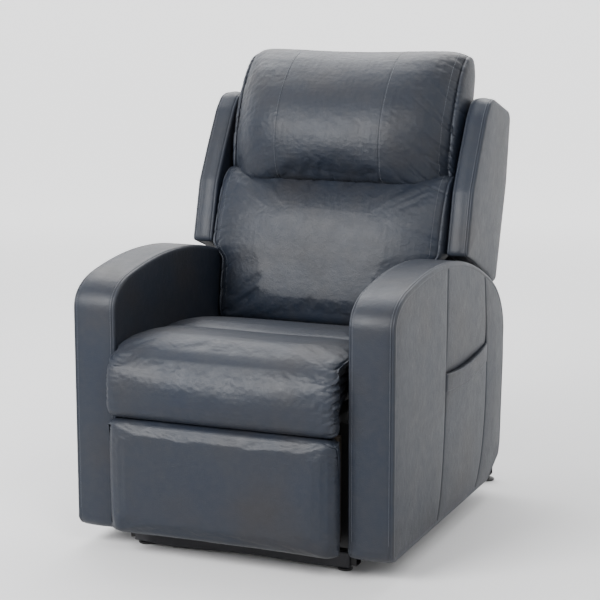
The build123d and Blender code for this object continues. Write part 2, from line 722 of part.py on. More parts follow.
outline = [
    lean(*UPRIGHT_FOOT, 0),
    lean(*UPRIGHT_FOOT, UPRIGHT_LENGTH),
    lean(*UPRIGHT_FOOT, UPRIGHT_LENGTH, UPRIGHT_DEPTH),
    lean(*UPRIGHT_FOOT, 0, UPRIGHT_DEPTH),
]
keep(side_panels([(span, outline) for span in both_sides(UPRIGHT)]), "back_uprights")

with BuildPart() as back_tube:
    with BuildSketch(Plane.YZ.offset(-LANE_FOOT_A[0])):
        with Locations(BACK_PIVOT):
            Circle(TORQUE_RADIUS)
    extrude(amount=2 * LANE_FOOT_A[0])
    with BuildSketch(Plane.YZ.offset(-LANE_PLATE[1] - 1)):
        with Locations(BACK_PIVOT):
            Circle(PIN_LARGE)
    extrude(amount=2 * (LANE_PLATE[1] + 1))
    for start in (CRANK_NEAR, -CRANK_FAR):
        with BuildSketch(Plane.YZ.offset(start)):
            with Locations(BACK_PIVOT):
                Circle(18)
            with Locations(BACK_CRANK_PIVOT):
                Circle(12)
            make_hull()
        extrude(amount=CRANK_FAR - CRANK_NEAR)
    with BuildSketch(Plane.YZ.offset(-CRANK_FAR)):
        with Locations(BACK_CRANK_PIVOT):
            Circle(MOTOR_PIN)
    extrude(amount=2 * CRANK_FAR)
keep(back_tube, "back_torque_tube")

RAIL_FRONT_OUT = UPRIGHT_DEPTH + 0.5
RAIL_THICK = 26
RAIL_HEIGHT = 45
rails = []
for up, half in ((530, WING_INNER), (300, WING_INNER), (30, CUSHION_HALF - 12)):
    outline = [
        lean(*UPRIGHT_FOOT, up, RAIL_FRONT_OUT),
        lean(*UPRIGHT_FOOT, up + RAIL_HEIGHT, RAIL_FRONT_OUT),
        lean(*UPRIGHT_FOOT, up + RAIL_HEIGHT, RAIL_FRONT_OUT + RAIL_THICK),
        lean(*UPRIGHT_FOOT, up, RAIL_FRONT_OUT + RAIL_THICK),
    ]
    rails.append(((-half, half), outline))
keep(side_panels(rails), "back_cross_rails")

WEB_HALF = 25
with BuildPart() as webbing:
    for web_up in (155, 240, 325, 410, 495):
        outline = [
            lean(*UPRIGHT_FOOT, web_up - WEB_HALF, -2.5),
            lean(*UPRIGHT_FOOT, web_up + WEB_HALF, -2.5),
            lean(*UPRIGHT_FOOT, web_up + WEB_HALF, -0.5),
            lean(*UPRIGHT_FOOT, web_up - WEB_HALF, -0.5),
        ]
        with BuildSketch(Plane.YZ.offset(-UPRIGHT[1])):
            with BuildLine():
                Polyline(*outline, close=True)
            make_face()
        extrude(amount=2 * UPRIGHT[1])
keep(webbing, "back_webbing")

with BuildPart() as lower_cushion:
    for half in (CUSHION_HALF, CUSHION_SHOULDER):
        with BuildSketch(Plane.YZ.offset(-half)):
            with BuildLine():
                Line(lean(*UPRIGHT_FOOT, 60, -6), lean(*UPRIGHT_FOOT, 396, -6))
                Line(lean(*UPRIGHT_FOOT, 396, -6), (168, 792))
                Spline((168, 792), (140, 752), (112, 660), (76, 560), (48, 490), (62, 459))
                Line((62, 459), lean(*UPRIGHT_FOOT, 60, -6))
            make_face()
            if half == CUSHION_SHOULDER:
                with Locations((100, SHOULDER_Z - 300)):
                    Rectangle(600, 600, mode=Mode.SUBTRACT)
        extrude(amount=2 * half)
keep(lower_cushion, "lower_back_cushion")

with BuildPart() as headrest:
    with BuildSketch(Plane.YZ.offset(-HEADREST_HALF)):
        with BuildLine():
            Line(lean(*UPRIGHT_FOOT, 402, -6), lean(*UPRIGHT_FOOT, UPRIGHT_LENGTH + 6, -6))
            Line(lean(*UPRIGHT_FOOT, UPRIGHT_LENGTH + 6, -6), lean(*UPRIGHT_FOOT, UPRIGHT_LENGTH + 6, 64))
            Spline(
                lean(*UPRIGHT_FOOT, UPRIGHT_LENGTH + 6, 64),
                (424, 1012),
                (402, 1062),
                (350, 1088),
                (282, 1086),
                (222, 1052),
                (174, 990),
                (138, 890),
                (150, 800),
            )
            Line((150, 800), lean(*UPRIGHT_FOOT, 402, -6))
        make_face()
    extrude(amount=2 * HEADREST_HALF)
keep(headrest, "headrest_pillow")

WING = [(134, 626), (174, 775), (222, 860), (276, 948), (306, 978), (336, 985), (470, 946), (479, 930)]
WING += [(454, 770), (376, 533), (350, 529), (294, 563), (198, 604)]
for side in (1, -1):
    wing_x = (WING_INNER, WING_OUTER) if side > 0 else (-WING_OUTER, -WING_INNER)
    with BuildPart() as wing:
        with BuildSketch(Plane.YZ.offset(wing_x[0])):
            with BuildLine():
                Polyline(*WING, close=True)
            make_face()
        extrude(amount=WING_OUTER - WING_INNER)
        fillet(wing.faces().filter_by(Axis.X).edges(), 5)
    keep(wing, side_name("wing", side))

PANEL_THICK = 12
with BuildPart() as outer_back:
    for half, points in (
        (WING_INNER - 0.5, [(BACK_REAR, 934), (454, 770), (402, 612)]),
        (CUSHION_HALF - 2, [(402, 612), (376, 533), (318, 360), (300, 300)]),
    ):
        inner_points = [(y - PANEL_THICK, z) for y, z in reversed(points)]
        with BuildSketch(Plane.YZ.offset(-half)):
            with BuildLine():
                Polyline(*points, *inner_points, close=True)
            make_face()
        extrude(amount=2 * half)
    with BuildSketch(Plane.YZ.offset(-WING_INNER + 0.5)):
        with BuildLine():
            Polyline((BACK_REAR, 934), (BACK_REAR - 12, 946), (432, 957), (432, 945), (471, 934), close=True)
        make_face()
    extrude(amount=2 * WING_INNER - 1)
keep(outer_back, "outer_back_panel")
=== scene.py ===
"""Lift recliner chair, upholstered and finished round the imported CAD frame. Metres throughout."""
import json
import math

import bmesh
import bpy
import numpy as np
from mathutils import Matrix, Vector, noise


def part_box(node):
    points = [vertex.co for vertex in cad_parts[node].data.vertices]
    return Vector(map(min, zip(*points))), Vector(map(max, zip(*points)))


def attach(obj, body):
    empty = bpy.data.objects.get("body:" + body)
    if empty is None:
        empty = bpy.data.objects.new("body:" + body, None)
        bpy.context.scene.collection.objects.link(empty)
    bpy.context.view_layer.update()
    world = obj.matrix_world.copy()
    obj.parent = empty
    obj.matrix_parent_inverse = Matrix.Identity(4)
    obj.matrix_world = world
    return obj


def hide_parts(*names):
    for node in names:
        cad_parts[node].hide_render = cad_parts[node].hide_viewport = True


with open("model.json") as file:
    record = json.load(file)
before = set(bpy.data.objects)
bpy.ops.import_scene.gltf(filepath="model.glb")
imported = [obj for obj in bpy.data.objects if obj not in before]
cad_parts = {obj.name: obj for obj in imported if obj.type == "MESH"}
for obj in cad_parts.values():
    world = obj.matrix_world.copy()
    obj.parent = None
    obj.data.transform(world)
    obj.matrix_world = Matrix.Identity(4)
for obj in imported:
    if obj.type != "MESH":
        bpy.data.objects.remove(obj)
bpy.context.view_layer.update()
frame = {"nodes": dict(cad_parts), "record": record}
MM = 0.001

# ---- facts of the frame that many pieces share ----
ARM_LOW, ARM_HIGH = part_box("arm_pad_left")
SEAT_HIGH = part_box("seat_cushion")[1]
REST_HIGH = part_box("footrest_pad")[1]
POCKET_LOW, POCKET_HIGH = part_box("side_pocket")
LUMBAR_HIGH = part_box("lower_back_cushion")[1]
HEAD_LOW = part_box("headrest_pillow")[0]
WING_LOW, WING_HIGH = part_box("wing_left")

STITCH_PITCH = 4.2 * MM
STITCH_LENGTH = 2.9 * MM
STITCH_RADIUS = 0.42 * MM


# ---- camera, light and floor ----
LENS = 106.24  # mm on a 36 mm sensor; lens, place and aim are the solved ones of the photograph
CAMERA_PLACE = (1.579, -3.8295, 1.2692)
CAMERA_AIM = Vector((-0.37765, 0.90879, -0.17744))
BOWL_FLAT, BOWL_CURVE, BOWL_WALL = 5.2, 1.8, 7.0  # radii and height of the round stage
BOWL_TURNS = 64


def in_scene(name, data):
    """A new object, linked into the scene."""
    item = bpy.data.objects.new(name, data)
    bpy.context.scene.collection.objects.link(item)
    return item


def camera_and_stage():
    """The photograph's viewing angle, a pale floor and broad soft lights."""
    cam_data = bpy.data.cameras.new("camera")
    cam_data.lens = LENS
    cam_data.sensor_width = 36
    cam = in_scene("camera", cam_data)
    cam.location = CAMERA_PLACE
    cam.rotation_mode = "QUATERNION"
    cam.rotation_quaternion = CAMERA_AIM.to_track_quat("-Z", "Y")
    bpy.context.scene.camera = cam
    stage_bowl()

    world = bpy.data.worlds.new("studio")
    world.use_nodes = True
    background = world.node_tree.nodes["Background"].inputs
    background["Color"].default_value = (0.96, 0.98, 1, 1)
    background["Strength"].default_value = 0.10
    bpy.context.scene.world = world

    softbox("key", (-1.25, -2.9, 2.15), (2.0, 1.5), 255)
    softbox("fill", (1.9, -2.5, 2.7), (1.6, 1.6), 80)
    softbox("top", (-0.5, 1.3, 2.95), (3.2, 2.6), 170, (0, -0.1, 0.3))


def softbox(name, place, size, power, target=(0, 0, 0.55)):
    """Rectangular area light turned to a target."""
    data = bpy.data.lights.new(name, "AREA")
    data.shape = "RECTANGLE"
    data.size, data.size_y = size
    data.energy = power
    lamp = in_scene(name, data)
    lamp.location = place
    lamp.rotation_mode = "QUATERNION"
    lamp.rotation_quaternion = (Vector(target) - Vector(place)).to_track_quat("-Z", "Y")


def stage_bowl():
    """Round bowl of pale floor and wall, dimmer in front of the chair, as in a dark-fronted studio; away from
    the chair it glows as painted light.
    """
    floor = Nodes("studio_floor")
    split = floor.add("ShaderNodeSeparateXYZ")
    floor.link(floor.place, split.inputs["Vector"])
    rearward = floor.value_range(split.outputs["Y"], 0.0, 1.0, -2.6, -0.4)
    pale = floor.mix(rearward, (0.22, 0.22, 0.225), (0.62, 0.62, 0.625))
    floor.link(pale, floor.shader.inputs["Base Color"])
    # painted light: floor and wall glow, not at all within 0.8 m of the middle, rising out to the wall and
    # weaker in front of the chair; the glow whitens the backdrop and lights the chair
    distance = floor.add("ShaderNodeVectorMath", operation="LENGTH")
    floor.link(floor.place, distance.inputs[0])
    painted_glow = floor.add("ShaderNodeMath", operation="MULTIPLY")
    floor.link(floor.value_range(distance.outputs["Value"], 0.0, 1.25, 0.8, 5.5), painted_glow.inputs[0])
    floor.link(floor.value_range(split.outputs["Y"], 0.22, 1.0, -2.6, -0.2), painted_glow.inputs[1])
    floor.link(painted_glow.outputs[0], floor.shader.inputs["Emission Strength"])
    floor.fixed(Roughness=0.8, Emission_Color=(1, 1, 1, 1))

    profile = [(0.02, 0.0), (1.5, 0.0), (3.0, 0.0), (BOWL_FLAT, 0.0)]
    for step in range(1, 11):
        turn = math.radians(9 * step)
        rise = BOWL_CURVE - BOWL_CURVE * math.cos(turn)
        profile.append((BOWL_FLAT + BOWL_CURVE * math.sin(turn), rise))
    profile.append((BOWL_FLAT + BOWL_CURVE, BOWL_WALL))
    turns = [2 * math.pi * step / BOWL_TURNS for step in range(BOWL_TURNS)]
    points = [(r * math.cos(turn), r * math.sin(turn), z) for r, z in profile for turn in turns]
    quads = ring_faces(len(profile), BOWL_TURNS)
    quads.append(tuple(range(BOWL_TURNS)))
    mesh = bpy.data.meshes.new("bowl")
    mesh.from_pydata(points, [], quads)
    mesh.polygons.foreach_set("use_smooth", [True] * len(quads))
    mesh.materials.append(floor.material)
    in_scene("bowl", mesh)


# ---- materials ----
class Nodes:
    """A new node material with a short way to add and link nodes."""

    def __init__(self, name):
        self.material = bpy.data.materials.new(name)
        self.material.use_nodes = True
        self.tree = self.material.node_tree
        self.shader = self.tree.nodes["Principled BSDF"]
        self.place = self.tree.nodes.new("ShaderNodeTexCoord").outputs["Object"]

    def add(self, kind, values=(), **settings):
        node = self.tree.nodes.new(kind)
        for key, value in settings.items():
            setattr(node, key, value)
        for socket, value in dict(values).items():
            node.inputs[socket].default_value = value
        return node

    def link(self, source, target):
        self.tree.links.new(source, target)

    def fixed(self, **values):
        """Values that are the same all over, on the shader's own sockets."""
        for socket, value in values.items():
            self.shader.inputs[socket.replace("_", " ")].default_value = value

    def noise(self, scale, detail=3, roughness=0.5, place=None):
        values = {"Scale": scale, "Detail": detail, "Roughness": roughness}
        node = self.add("ShaderNodeTexNoise", values)
        self.link(place or self.place, node.inputs["Vector"])
        return node.outputs["Fac"]

    def cells(self, scale, feature="F1"):
        node = self.add("ShaderNodeTexVoronoi", {"Scale": scale}, feature=feature)
        self.link(self.place, node.inputs["Vector"])
        return node.outputs["Distance"]

    def ramp(self, source, stops):
        node = self.add("ShaderNodeValToRGB")
        while len(node.color_ramp.elements) < len(stops):
            node.color_ramp.elements.new(0.5)
        for element, (position, colour) in zip(node.color_ramp.elements, stops):
            element.position = position
            element.color = (*colour, 1)
        self.link(source, node.inputs["Fac"])
        return node.outputs["Color"]

    def value_range(self, source, low, high, from_low=0.0, from_high=1.0):
        limits = {"From Min": from_low, "From Max": from_high, "To Min": low, "To Max": high}
        node = self.add("ShaderNodeMapRange", limits)
        self.link(source, node.inputs["Value"])
        return node.outputs["Result"]

    def mix(self, factor, first, second):
        node = self.add("ShaderNodeMix", data_type="RGBA", blend_type="MIX")
        self.link(factor, node.inputs["Factor"])
        for socket, value in ((node.inputs["A"], first), (node.inputs["B"], second)):
            if isinstance(value, tuple):
                socket.default_value = (*value, 1)
            else:
                self.link(value, socket)
        return node.outputs["Result"]

    def bump(self, layers):
        """Bump from (height, distance in metres) layers, one on the other."""
        normal = None
        for height, distance in layers:
            node = self.add("ShaderNodeBump")
            node.inputs["Distance"].default_value = distance
            self.link(height, node.inputs["Height"])
            if normal is not None:
                self.link(normal, node.inputs["Normal"])
            normal = node.outputs["Normal"]
        self.link(normal, self.shader.inputs["Normal"])


def leather_material():
    """Blue-grey leather: slow patina between slate and warm grey, pebbled grain, paler worn edges."""
    m = Nodes("leather_slate")
    slate, blue_grey, warm_grey = (0.008, 0.0122, 0.0215), (0.011, 0.0142, 0.0215), (0.015, 0.0152, 0.0182)
    patina = m.ramp(m.noise(5.5, 4, 0.55), [(0.30, slate), (0.50, blue_grey), (0.72, warm_grey)])
    mottle = m.value_range(m.noise(55, 4, 0.6), 0.0, 0.35, 0.42, 0.72)
    mottled = m.mix(mottle, patina, (0.021, 0.022, 0.026))
    geometry = m.add("ShaderNodeNewGeometry")
    worn = m.value_range(geometry.outputs["Pointiness"], 0.0, 0.5, 0.52, 0.60)
    m.link(m.mix(worn, mottled, (0.050, 0.056, 0.070)), m.shader.inputs["Base Color"])
    m.link(m.value_range(m.noise(38, 3), 0.40, 0.54), m.shader.inputs["Roughness"])
    m.fixed(Specular_IOR_Level=0.28)
    pebbles, pores, hide = m.cells(620, "SMOOTH_F1"), m.noise(1500, 2), m.noise(90, 3)
    m.bump([(pebbles, 0.00028), (pores, 0.00012), (hide, 0.0006)])
    return m.material


def thread_material():
    """Topstitching thread, a little paler than the leather, with its twist."""
    m = Nodes("thread")
    twist = m.ramp(m.noise(900, 2), [(0.3, (0.040, 0.046, 0.060)), (0.7, (0.080, 0.088, 0.105))])
    m.link(twist, m.shader.inputs["Base Color"])
    m.fixed(Roughness=0.6, Sheen_Weight=0.3)
    m.bump([(m.noise(2400, 1), 0.0001)])
    return m.material


def steel_material(name, dark, pale, roughness):
    """Powder-coated or bare steel with a fine orange-peel and slight uneven tone."""
    m = Nodes(name)
    m.link(m.ramp(m.noise(14, 4), [(0.3, dark), (0.75, pale)]), m.shader.inputs["Base Color"])
    m.fixed(Metallic=0.35 if max(pale) < 0.2 else 0.95)
    uneven = m.value_range(m.noise(60, 3), roughness - 0.06, roughness + 0.1)
    m.link(uneven, m.shader.inputs["Roughness"])
    m.bump([(m.noise(420, 2), 0.00012)])
    return m.material


def plastic_material(name, dark, pale, roughness):
    """Moulded plastic with a spark-eroded texture."""
    m = Nodes(name)
    m.link(m.ramp(m.noise(20, 3), [(0.3, dark), (0.7, pale)]), m.shader.inputs["Base Color"])
    m.fixed(Roughness=roughness)
    m.bump([(m.noise(1600, 2), 0.00008), (m.cells(700), 0.00006)])
    return m.material


def timber_material():
    """Frame timber darkened as painted shade, so the frame seen in the gaps between the parts reads as shade,
    with growth rings drawn out along its length.
    """
    m = Nodes("timber")
    stretch = m.add("ShaderNodeMapping", {"Scale": (1.0, 0.12, 1.0)})
    m.link(m.place, stretch.inputs["Vector"])
    grain = m.noise(70, 5, 0.6, stretch.outputs["Vector"])
    # painted shade: near-black tones in place of the timber's own pale colour
    stops = [(0.3, (0.014, 0.010, 0.007)), (0.5, (0.022, 0.016, 0.011)), (0.7, (0.032, 0.024, 0.017))]
    m.link(m.ramp(grain, stops), m.shader.inputs["Base Color"])
    m.fixed(Roughness=0.65)
    m.bump([(grain, 0.0004)])
    return m.material


def cloth_material(name, dark, pale, thread_scale):
    """Plain woven cloth or webbing: two crossed thread waves."""
    m = Nodes(name)
    heights = []
    for direction in ("X", "Z"):
        values = {"Scale": thread_scale, "Distortion": 0.6}
        wave = m.add("ShaderNodeTexWave", values, wave_type="BANDS", bands_direction=direction)
        m.link(m.place, wave.inputs["Vector"])
        heights.append(wave.outputs["Fac"])
    m.link(m.ramp(m.noise(40, 3), [(0.3, dark), (0.7, pale)]), m.shader.inputs["Base Color"])
    m.fixed(Roughness=0.9, Sheen_Weight=0.2)
    m.bump([(heights[0], 0.0002), (heights[1], 0.0002)])
    return m.material


# ---- mesh tools ----
def new_piece(name, points, faces, material, body):
    """A mesh object riding on a body, with outward normals."""
    mesh = bpy.data.meshes.new(name)
    mesh.from_pydata([tuple(p) for p in points], [], faces)
    mesh.validate()
    work = bmesh.new()
    work.from_mesh(mesh)
    bmesh.ops.recalc_face_normals(work, faces=work.faces)
    work.to_mesh(mesh)
    work.free()
    mesh.polygons.foreach_set("use_smooth", [True] * len(mesh.polygons))
    mesh.materials.append(material)
    piece = in_scene(name, mesh)
    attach(piece, body)
    return piece


def hull(points):
    """Convex outline of flat points, counter-clockwise."""
    ordered = sorted(set((round(float(a), 6), round(float(b), 6)) for a, b in points))

    def half(sequence):
        chain = []
        for p in sequence:
            while len(chain) > 1:
                (ax, ay), (bx, by) = chain[-2], chain[-1]
                if (bx - ax) * (p[1] - ay) - (by - ay) * (p[0] - ax) > 0:
                    break
                chain.pop()
            chain.append(p)
        return chain[:-1]

    return np.array(half(ordered) + half(ordered[::-1]))


def node_outline(node):
    """Convex side outline of a CAD node, in (y, z)."""
    co = np.array([v.co for v in frame["nodes"][node].data.vertices])
    return hull(co[:, 1:])


def travel(path):
    """Distance travelled along a path to each of its points."""
    return np.concatenate([[0], np.cumsum(np.linalg.norm(np.diff(path, axis=0), axis=1))])


def pick(path, marks, wanted):
    """Places on a path where the marks of its points reach the wanted values."""
    return np.column_stack([np.interp(wanted, marks, path[:, k]) for k in range(path.shape[1])])


def along_path(path, count, closed):
    """Points at equal distances along a path."""
    path = np.asarray(path, float)
    if closed:
        path = np.vstack([path, path[:1]])
    travelled = travel(path)
    wanted = np.linspace(0, travelled[-1], count + 1 if closed else count)
    return pick(path, travelled, wanted[:count])


def soft_loop(outline, count, soften=0.0):
    """Closed outline at equal spacing, its corners rounded over about `soften` metres."""
    loop = along_path(outline, count, True)
    if soften:
        length = np.linalg.norm(np.roll(loop, -1, axis=0) - loop, axis=1).sum()
        sigma = soften / (length / count)
        reach = np.arange(count)
        reach = np.minimum(reach, count - reach)
        kernel = np.exp(-0.5 * (reach / sigma) ** 2)
        kernel /= kernel.sum()
        spectrum = np.fft.fft(kernel)
        for axis in (0, 1):
            loop[:, axis] = np.real(np.fft.ifft(np.fft.fft(loop[:, axis]) * spectrum))
        loop = along_path(loop, count, True)
    return loop


def inward(loop):
    """Unit normals pointing into a counter-clockwise loop."""
    tangent = np.roll(loop, -1, axis=0) - np.roll(loop, 1, axis=0)
    tangent /= np.linalg.norm(tangent, axis=1)[:, None]
    return np.column_stack([-tangent[:, 1], tangent[:, 0]])


def ring(loop, x, inset=0.0, scale=1.0, centre=None):
    """The loop placed at x, moved in by inset along its normals, then scaled towards a centre."""
    inset = np.broadcast_to(np.asarray(inset, float), len(loop))
    flat = loop + inward(loop) * inset[:, None]
    if scale != 1.0:
        flat = centre + (flat - centre) * scale
    return np.column_stack([np.broadcast_to(x, len(loop)), flat])


def ring_faces(rows, count, base=0):
    """Quads through rings of equal count, whose points follow one another."""
    faces = []
    for low in range(base, base + (rows - 1) * count, count):
        for j in range(count):
            k = (j + 1) % count
            faces.append((low + j, low + k, low + count + k, low + count + j))
    return faces


def skin(name, rings, material, body):
    """Closed surface through equal rings, its two ends closed on a point."""
    count = len(rings[0])
    points = [p for r in rings for p in r]
    faces = ring_faces(len(rings), count)
    first, last = len(points), len(points) + 1
    points += [rings[0].mean(axis=0), rings[-1].mean(axis=0)]
    end = (len(rings) - 1) * count
    for j in range(count):
        k = (j + 1) % count
        faces.append((first, k, j))
        faces.append((last, end + j, end + k))
    return new_piece(name, points, faces, material, body)


def mesh_points(piece):
    co = np.empty(len(piece.data.vertices) * 3)
    piece.data.vertices.foreach_get("co", co)
    return co.reshape(-1, 3)


def mesh_normals(piece):
    return np.array([v.normal for v in piece.data.vertices])


def set_points(piece, points):
    piece.data.vertices.foreach_set("co", np.asarray(points, float).ravel())
    piece.data.update()


def dense(grid):
    """Rings with points added midway along and across, on a smooth curve through the old ones."""
    after = np.roll(grid, -1, 1)
    middle = (9 * (grid + after) - np.roll(grid, 1, 1) - np.roll(grid, -2, 1)) / 16
    grid = np.stack([grid, middle], 2).reshape(len(grid), -1, 3)
    ends = np.concatenate([grid[:1], grid, grid[-1:]])
    middle = (9 * (ends[1:-2] + ends[2:-1]) - ends[:-3] - ends[3:]) / 16
    both = np.empty((2 * len(grid) - 1, grid.shape[1], 3))
    both[::2], both[1::2] = grid, middle
    return both


def grid_normals(grid):
    """Outward unit normals of a closed skin's rings."""
    across = np.gradient(grid, axis=0)
    around = np.roll(grid, -1, 1) - np.roll(grid, 1, 1)
    normals = np.cross(across, around)
    normals /= np.maximum(np.linalg.norm(normals, axis=2), 1e-12)[:, :, None]
    middle = grid[len(grid) // 2]
    outwards = ((middle - middle.mean(axis=0)) * normals[len(grid) // 2]).sum()
    return normals if outwards > 0 else -normals


def creases(first, second, seed, pitch, length):
    """Narrow creases, 1 on a crease and 0 between: about a pitch apart along first, and long along second."""
    a, b = np.broadcast_arrays(first / pitch, second / length)
    flat = [
        noise.noise((p, q, seed)) + 0.45 * noise.noise((2.1 * p, 1.7 * q, seed + 9.7))
        for p, q in zip(a.ravel(), b.ravel())
    ]
    return np.clip(1 - np.abs(np.reshape(flat, a.shape)) * 5.0, 0, 1) ** 1.3


def swells(grid, seed, size):
    """Slow unevenness over a surface, from -1 to 1."""
    flat = grid.reshape(-1, 3) / size
    return np.array([noise.noise((p[0], p[1], p[2] + seed)) for p in flat]).reshape(grid.shape[:2])


def runs_seen(points, normals, seen):
    """Stretches of a ring, as points and normals, that the test lets through."""
    kept = np.array([bool(seen(p)) for p in points])
    if kept.all():
        return [(points, normals)]
    start = int(np.nonzero(~kept)[0][0])
    runs, run = [], []
    for k in range(len(points)):
        index = (start + k) % len(points)
        if kept[index]:
            run.append(index)
        elif run:
            runs.append(run)
            run = []
    if run:
        runs.append(run)
    return [(points[r], normals[r]) for r in runs if len(r) > 3]


def stitches(name, lines, material, body):
    """Thread stitches along lines of (point, normal): short dashes standing half out of the leather."""
    sides = 6
    turns = [2 * math.pi * side / sides for side in range(sides)]
    profile = ((-0.5, 0.25), (-0.36, 0.95), (0.36, 0.95), (0.5, 0.25))  # (along, thickness) of a dash
    points, faces = [], []
    for path, normals in lines:
        travelled, numbers = travel(path), np.arange(len(path))
        for centre in np.arange(STITCH_PITCH / 2, travelled[-1], STITCH_PITCH):
            at = np.interp(centre + np.array([-1, 0, 1]) * MM, travelled, numbers)
            before, spot, after = pick(path, numbers, at)
            normal = normals[min(int(round(at[1])), len(normals) - 1)]
            direction = after - before
            size = np.linalg.norm(direction)
            if size < 1e-9:
                continue
            direction /= size
            across = np.cross(direction, normal)
            across /= np.linalg.norm(across)
            up = np.cross(across, direction)
            base = len(points)
            for offset, fat in profile:
                middle = spot + direction * offset * STITCH_LENGTH + up * STITCH_RADIUS * 0.25
                for turn in turns:
                    out = across * math.cos(turn) + up * math.sin(turn)
                    points.append(middle + out * STITCH_RADIUS * fat)
            faces += ring_faces(len(profile), sides, base)
            faces.append(tuple(base + side for side in reversed(range(sides))))
            last = base + (len(profile) - 1) * sides
            faces.append(tuple(last + side for side in range(sides)))
    return new_piece(name, points, faces, material, body)


# ---- cloth ----
CLOTH_FRAMES = 20
CLOTH = dict(
    quality=6, mass=0.35, air_damping=4, vertex_group_mass="holds", pin_stiffness=5, use_pressure=True,
    tension_stiffness=25, compression_stiffness=25, shear_stiffness=8, bending_stiffness=2.0,
    tension_damping=12, compression_damping=12, shear_damping=12, bending_damping=2,
)


def inflate(piece, pinned, pressure, cap):
    """Fill a cushion by cloth simulation: pinned points stay, no point moves further than the cap."""
    start = mesh_points(piece)
    working = piece.copy()
    working.data = piece.data.copy()
    working.parent = None
    bpy.context.scene.collection.objects.link(working)
    holds = working.vertex_groups.new(name="holds")
    for weight in sorted(set(np.round(pinned[pinned > 0.01], 2))):
        which = [int(i) for i in np.nonzero(np.abs(pinned - weight) < 0.006)[0]]
        holds.add(which, float(weight), "REPLACE")
    cloth = working.modifiers.new("cloth", "CLOTH")
    for key, value in CLOTH.items():
        setattr(cloth.settings, key, value)
    cloth.settings.uniform_pressure_force = pressure
    cloth.settings.effector_weights.gravity = 0
    cloth.collision_settings.use_collision = False
    cloth.collision_settings.use_self_collision = False
    cloth.point_cache.frame_start = 1
    cloth.point_cache.frame_end = CLOTH_FRAMES
    scene = bpy.context.scene
    for number in range(1, CLOTH_FRAMES + 1):
        scene.frame_set(number)
    evaluated = working.evaluated_get(bpy.context.evaluated_depsgraph_get())
    step = mesh_points(evaluated) - start
    scene.frame_set(1)
    bpy.data.objects.remove(working)
    length = np.linalg.norm(step, axis=1)
    print(f"cloth {piece.name}: mean {length.mean() * 1000:.1f} mm, most {length.max() * 1000:.1f} mm")
    allowed = np.minimum(1.0, cap / np.maximum(length, 1e-9))
    set_points(piece, start + step * allowed[:, None])


# ---- arms ----
# edge of an upholstered frame, from its side panel round to the band: (distance in from the side
# plane, distance in from the outline); the groove is the seam, and the dip beyond it the stitching
EDGE = (
    (0.0, 10.0), (0.5, 6.0), (1.6, 3.2), (3.4, 1.3), (5.2, 0.4), (6.3, 0.5),
    (7.0, 2.4), (7.8, 0.2), (9.0, -0.6), (10.6, 0.1), (12.4, -0.9),
)
STITCH_ROW = 9  # the row of EDGE that the stitching follows


SIDES = {1: "left", -1: "right"}


def edge_rings(loop, plane, direction, rows=EDGE):
    """Rings round one edge of a band, starting on the side panel."""
    return [ring(loop, plane + direction * d * MM, i * MM) for d, i in rows]


def row_line(piece, row, count, seen):
    """Points and normals along one ring of a skin, in the stretches that the test lets through."""
    along = slice(row * count, (row + 1) * count)
    return runs_seen(mesh_points(piece)[along], mesh_normals(piece)[along], seen)


def nearest(path, y, z):
    return int(np.argmin(np.hypot(path[:, 0] - y, path[:, 1] - z)))


def between(loop, start, end):
    """Stretch of a closed loop from one index forward to another."""
    if end < start:
        end += len(loop)
    return loop[np.arange(start, end + 1) % len(loop)]


def coons(bottom, top, front, rear):
    """Patch between four edge curves; rows run from bottom to top, columns from front to rear."""
    u = np.linspace(0, 1, len(bottom))[None, :, None]
    v = np.linspace(0, 1, len(front))[:, None, None]
    ruled = (1 - v) * bottom[None] + v * top[None] + (1 - u) * front[:, None] + u * rear[:, None]
    corners = (1 - u) * (1 - v) * bottom[0] + u * (1 - v) * bottom[-1]
    corners = corners + (1 - u) * v * top[0] + u * v * top[-1]
    return ruled - corners


def leaf(name, front, rear, rows, columns, material, body, slot):
    """Thin closed piece between a front and a rear grid of points."""
    offset = rows * columns
    faces = []
    for r in range(rows - 1):
        for c in range(columns - 1):
            a = r * columns + c
            quad = (a, a + 1, a + columns + 1, a + columns)
            faces.append(quad)
            faces.append(tuple(offset + i for i in reversed(quad)))
    rim = list(range(columns)) + [r * columns + columns - 1 for r in range(1, rows)]
    rim += [(rows - 1) * columns + c for c in range(columns - 2, -1, -1)]
    rim += [r * columns for r in range(rows - 2, 0, -1)]
    for i, a in enumerate(rim):
        b = rim[(i + 1) % len(rim)]
        faces.append((b, a, offset + a, offset + b))
    return new_piece(name, [*front, *rear], faces, material, body)


def fine_ends(count):
    """Shares from 0 to 1, closer together near both ends, where the seams are."""
    t = np.linspace(0, 1, count)
    return 0.5 - 0.5 * np.cos(np.pi * t) * (0.35 + 0.65 * np.abs(np.cos(np.pi * t)) ** 0.5)


def spaced(path, shares):
    """Points of an open path at the given shares of its length."""
    travelled = travel(path)
    return pick(path, travelled / travelled[-1], shares)


def seam_fall(grid, edges):
    """Distance of every grid point from the nearest of the listed edges, in metres."""
    rows, columns = grid.shape[:2]
    distance = np.full((rows, columns), 1.0)
    for edge in edges:
        line = {"front": grid[:, 0], "rear": grid[:, -1], "bottom": grid[0], "top": grid[-1]}[edge]
        gap = np.linalg.norm(grid[:, :, None] - line[None, None], axis=3).min(axis=2)
        distance = np.minimum(distance, gap)
    return distance


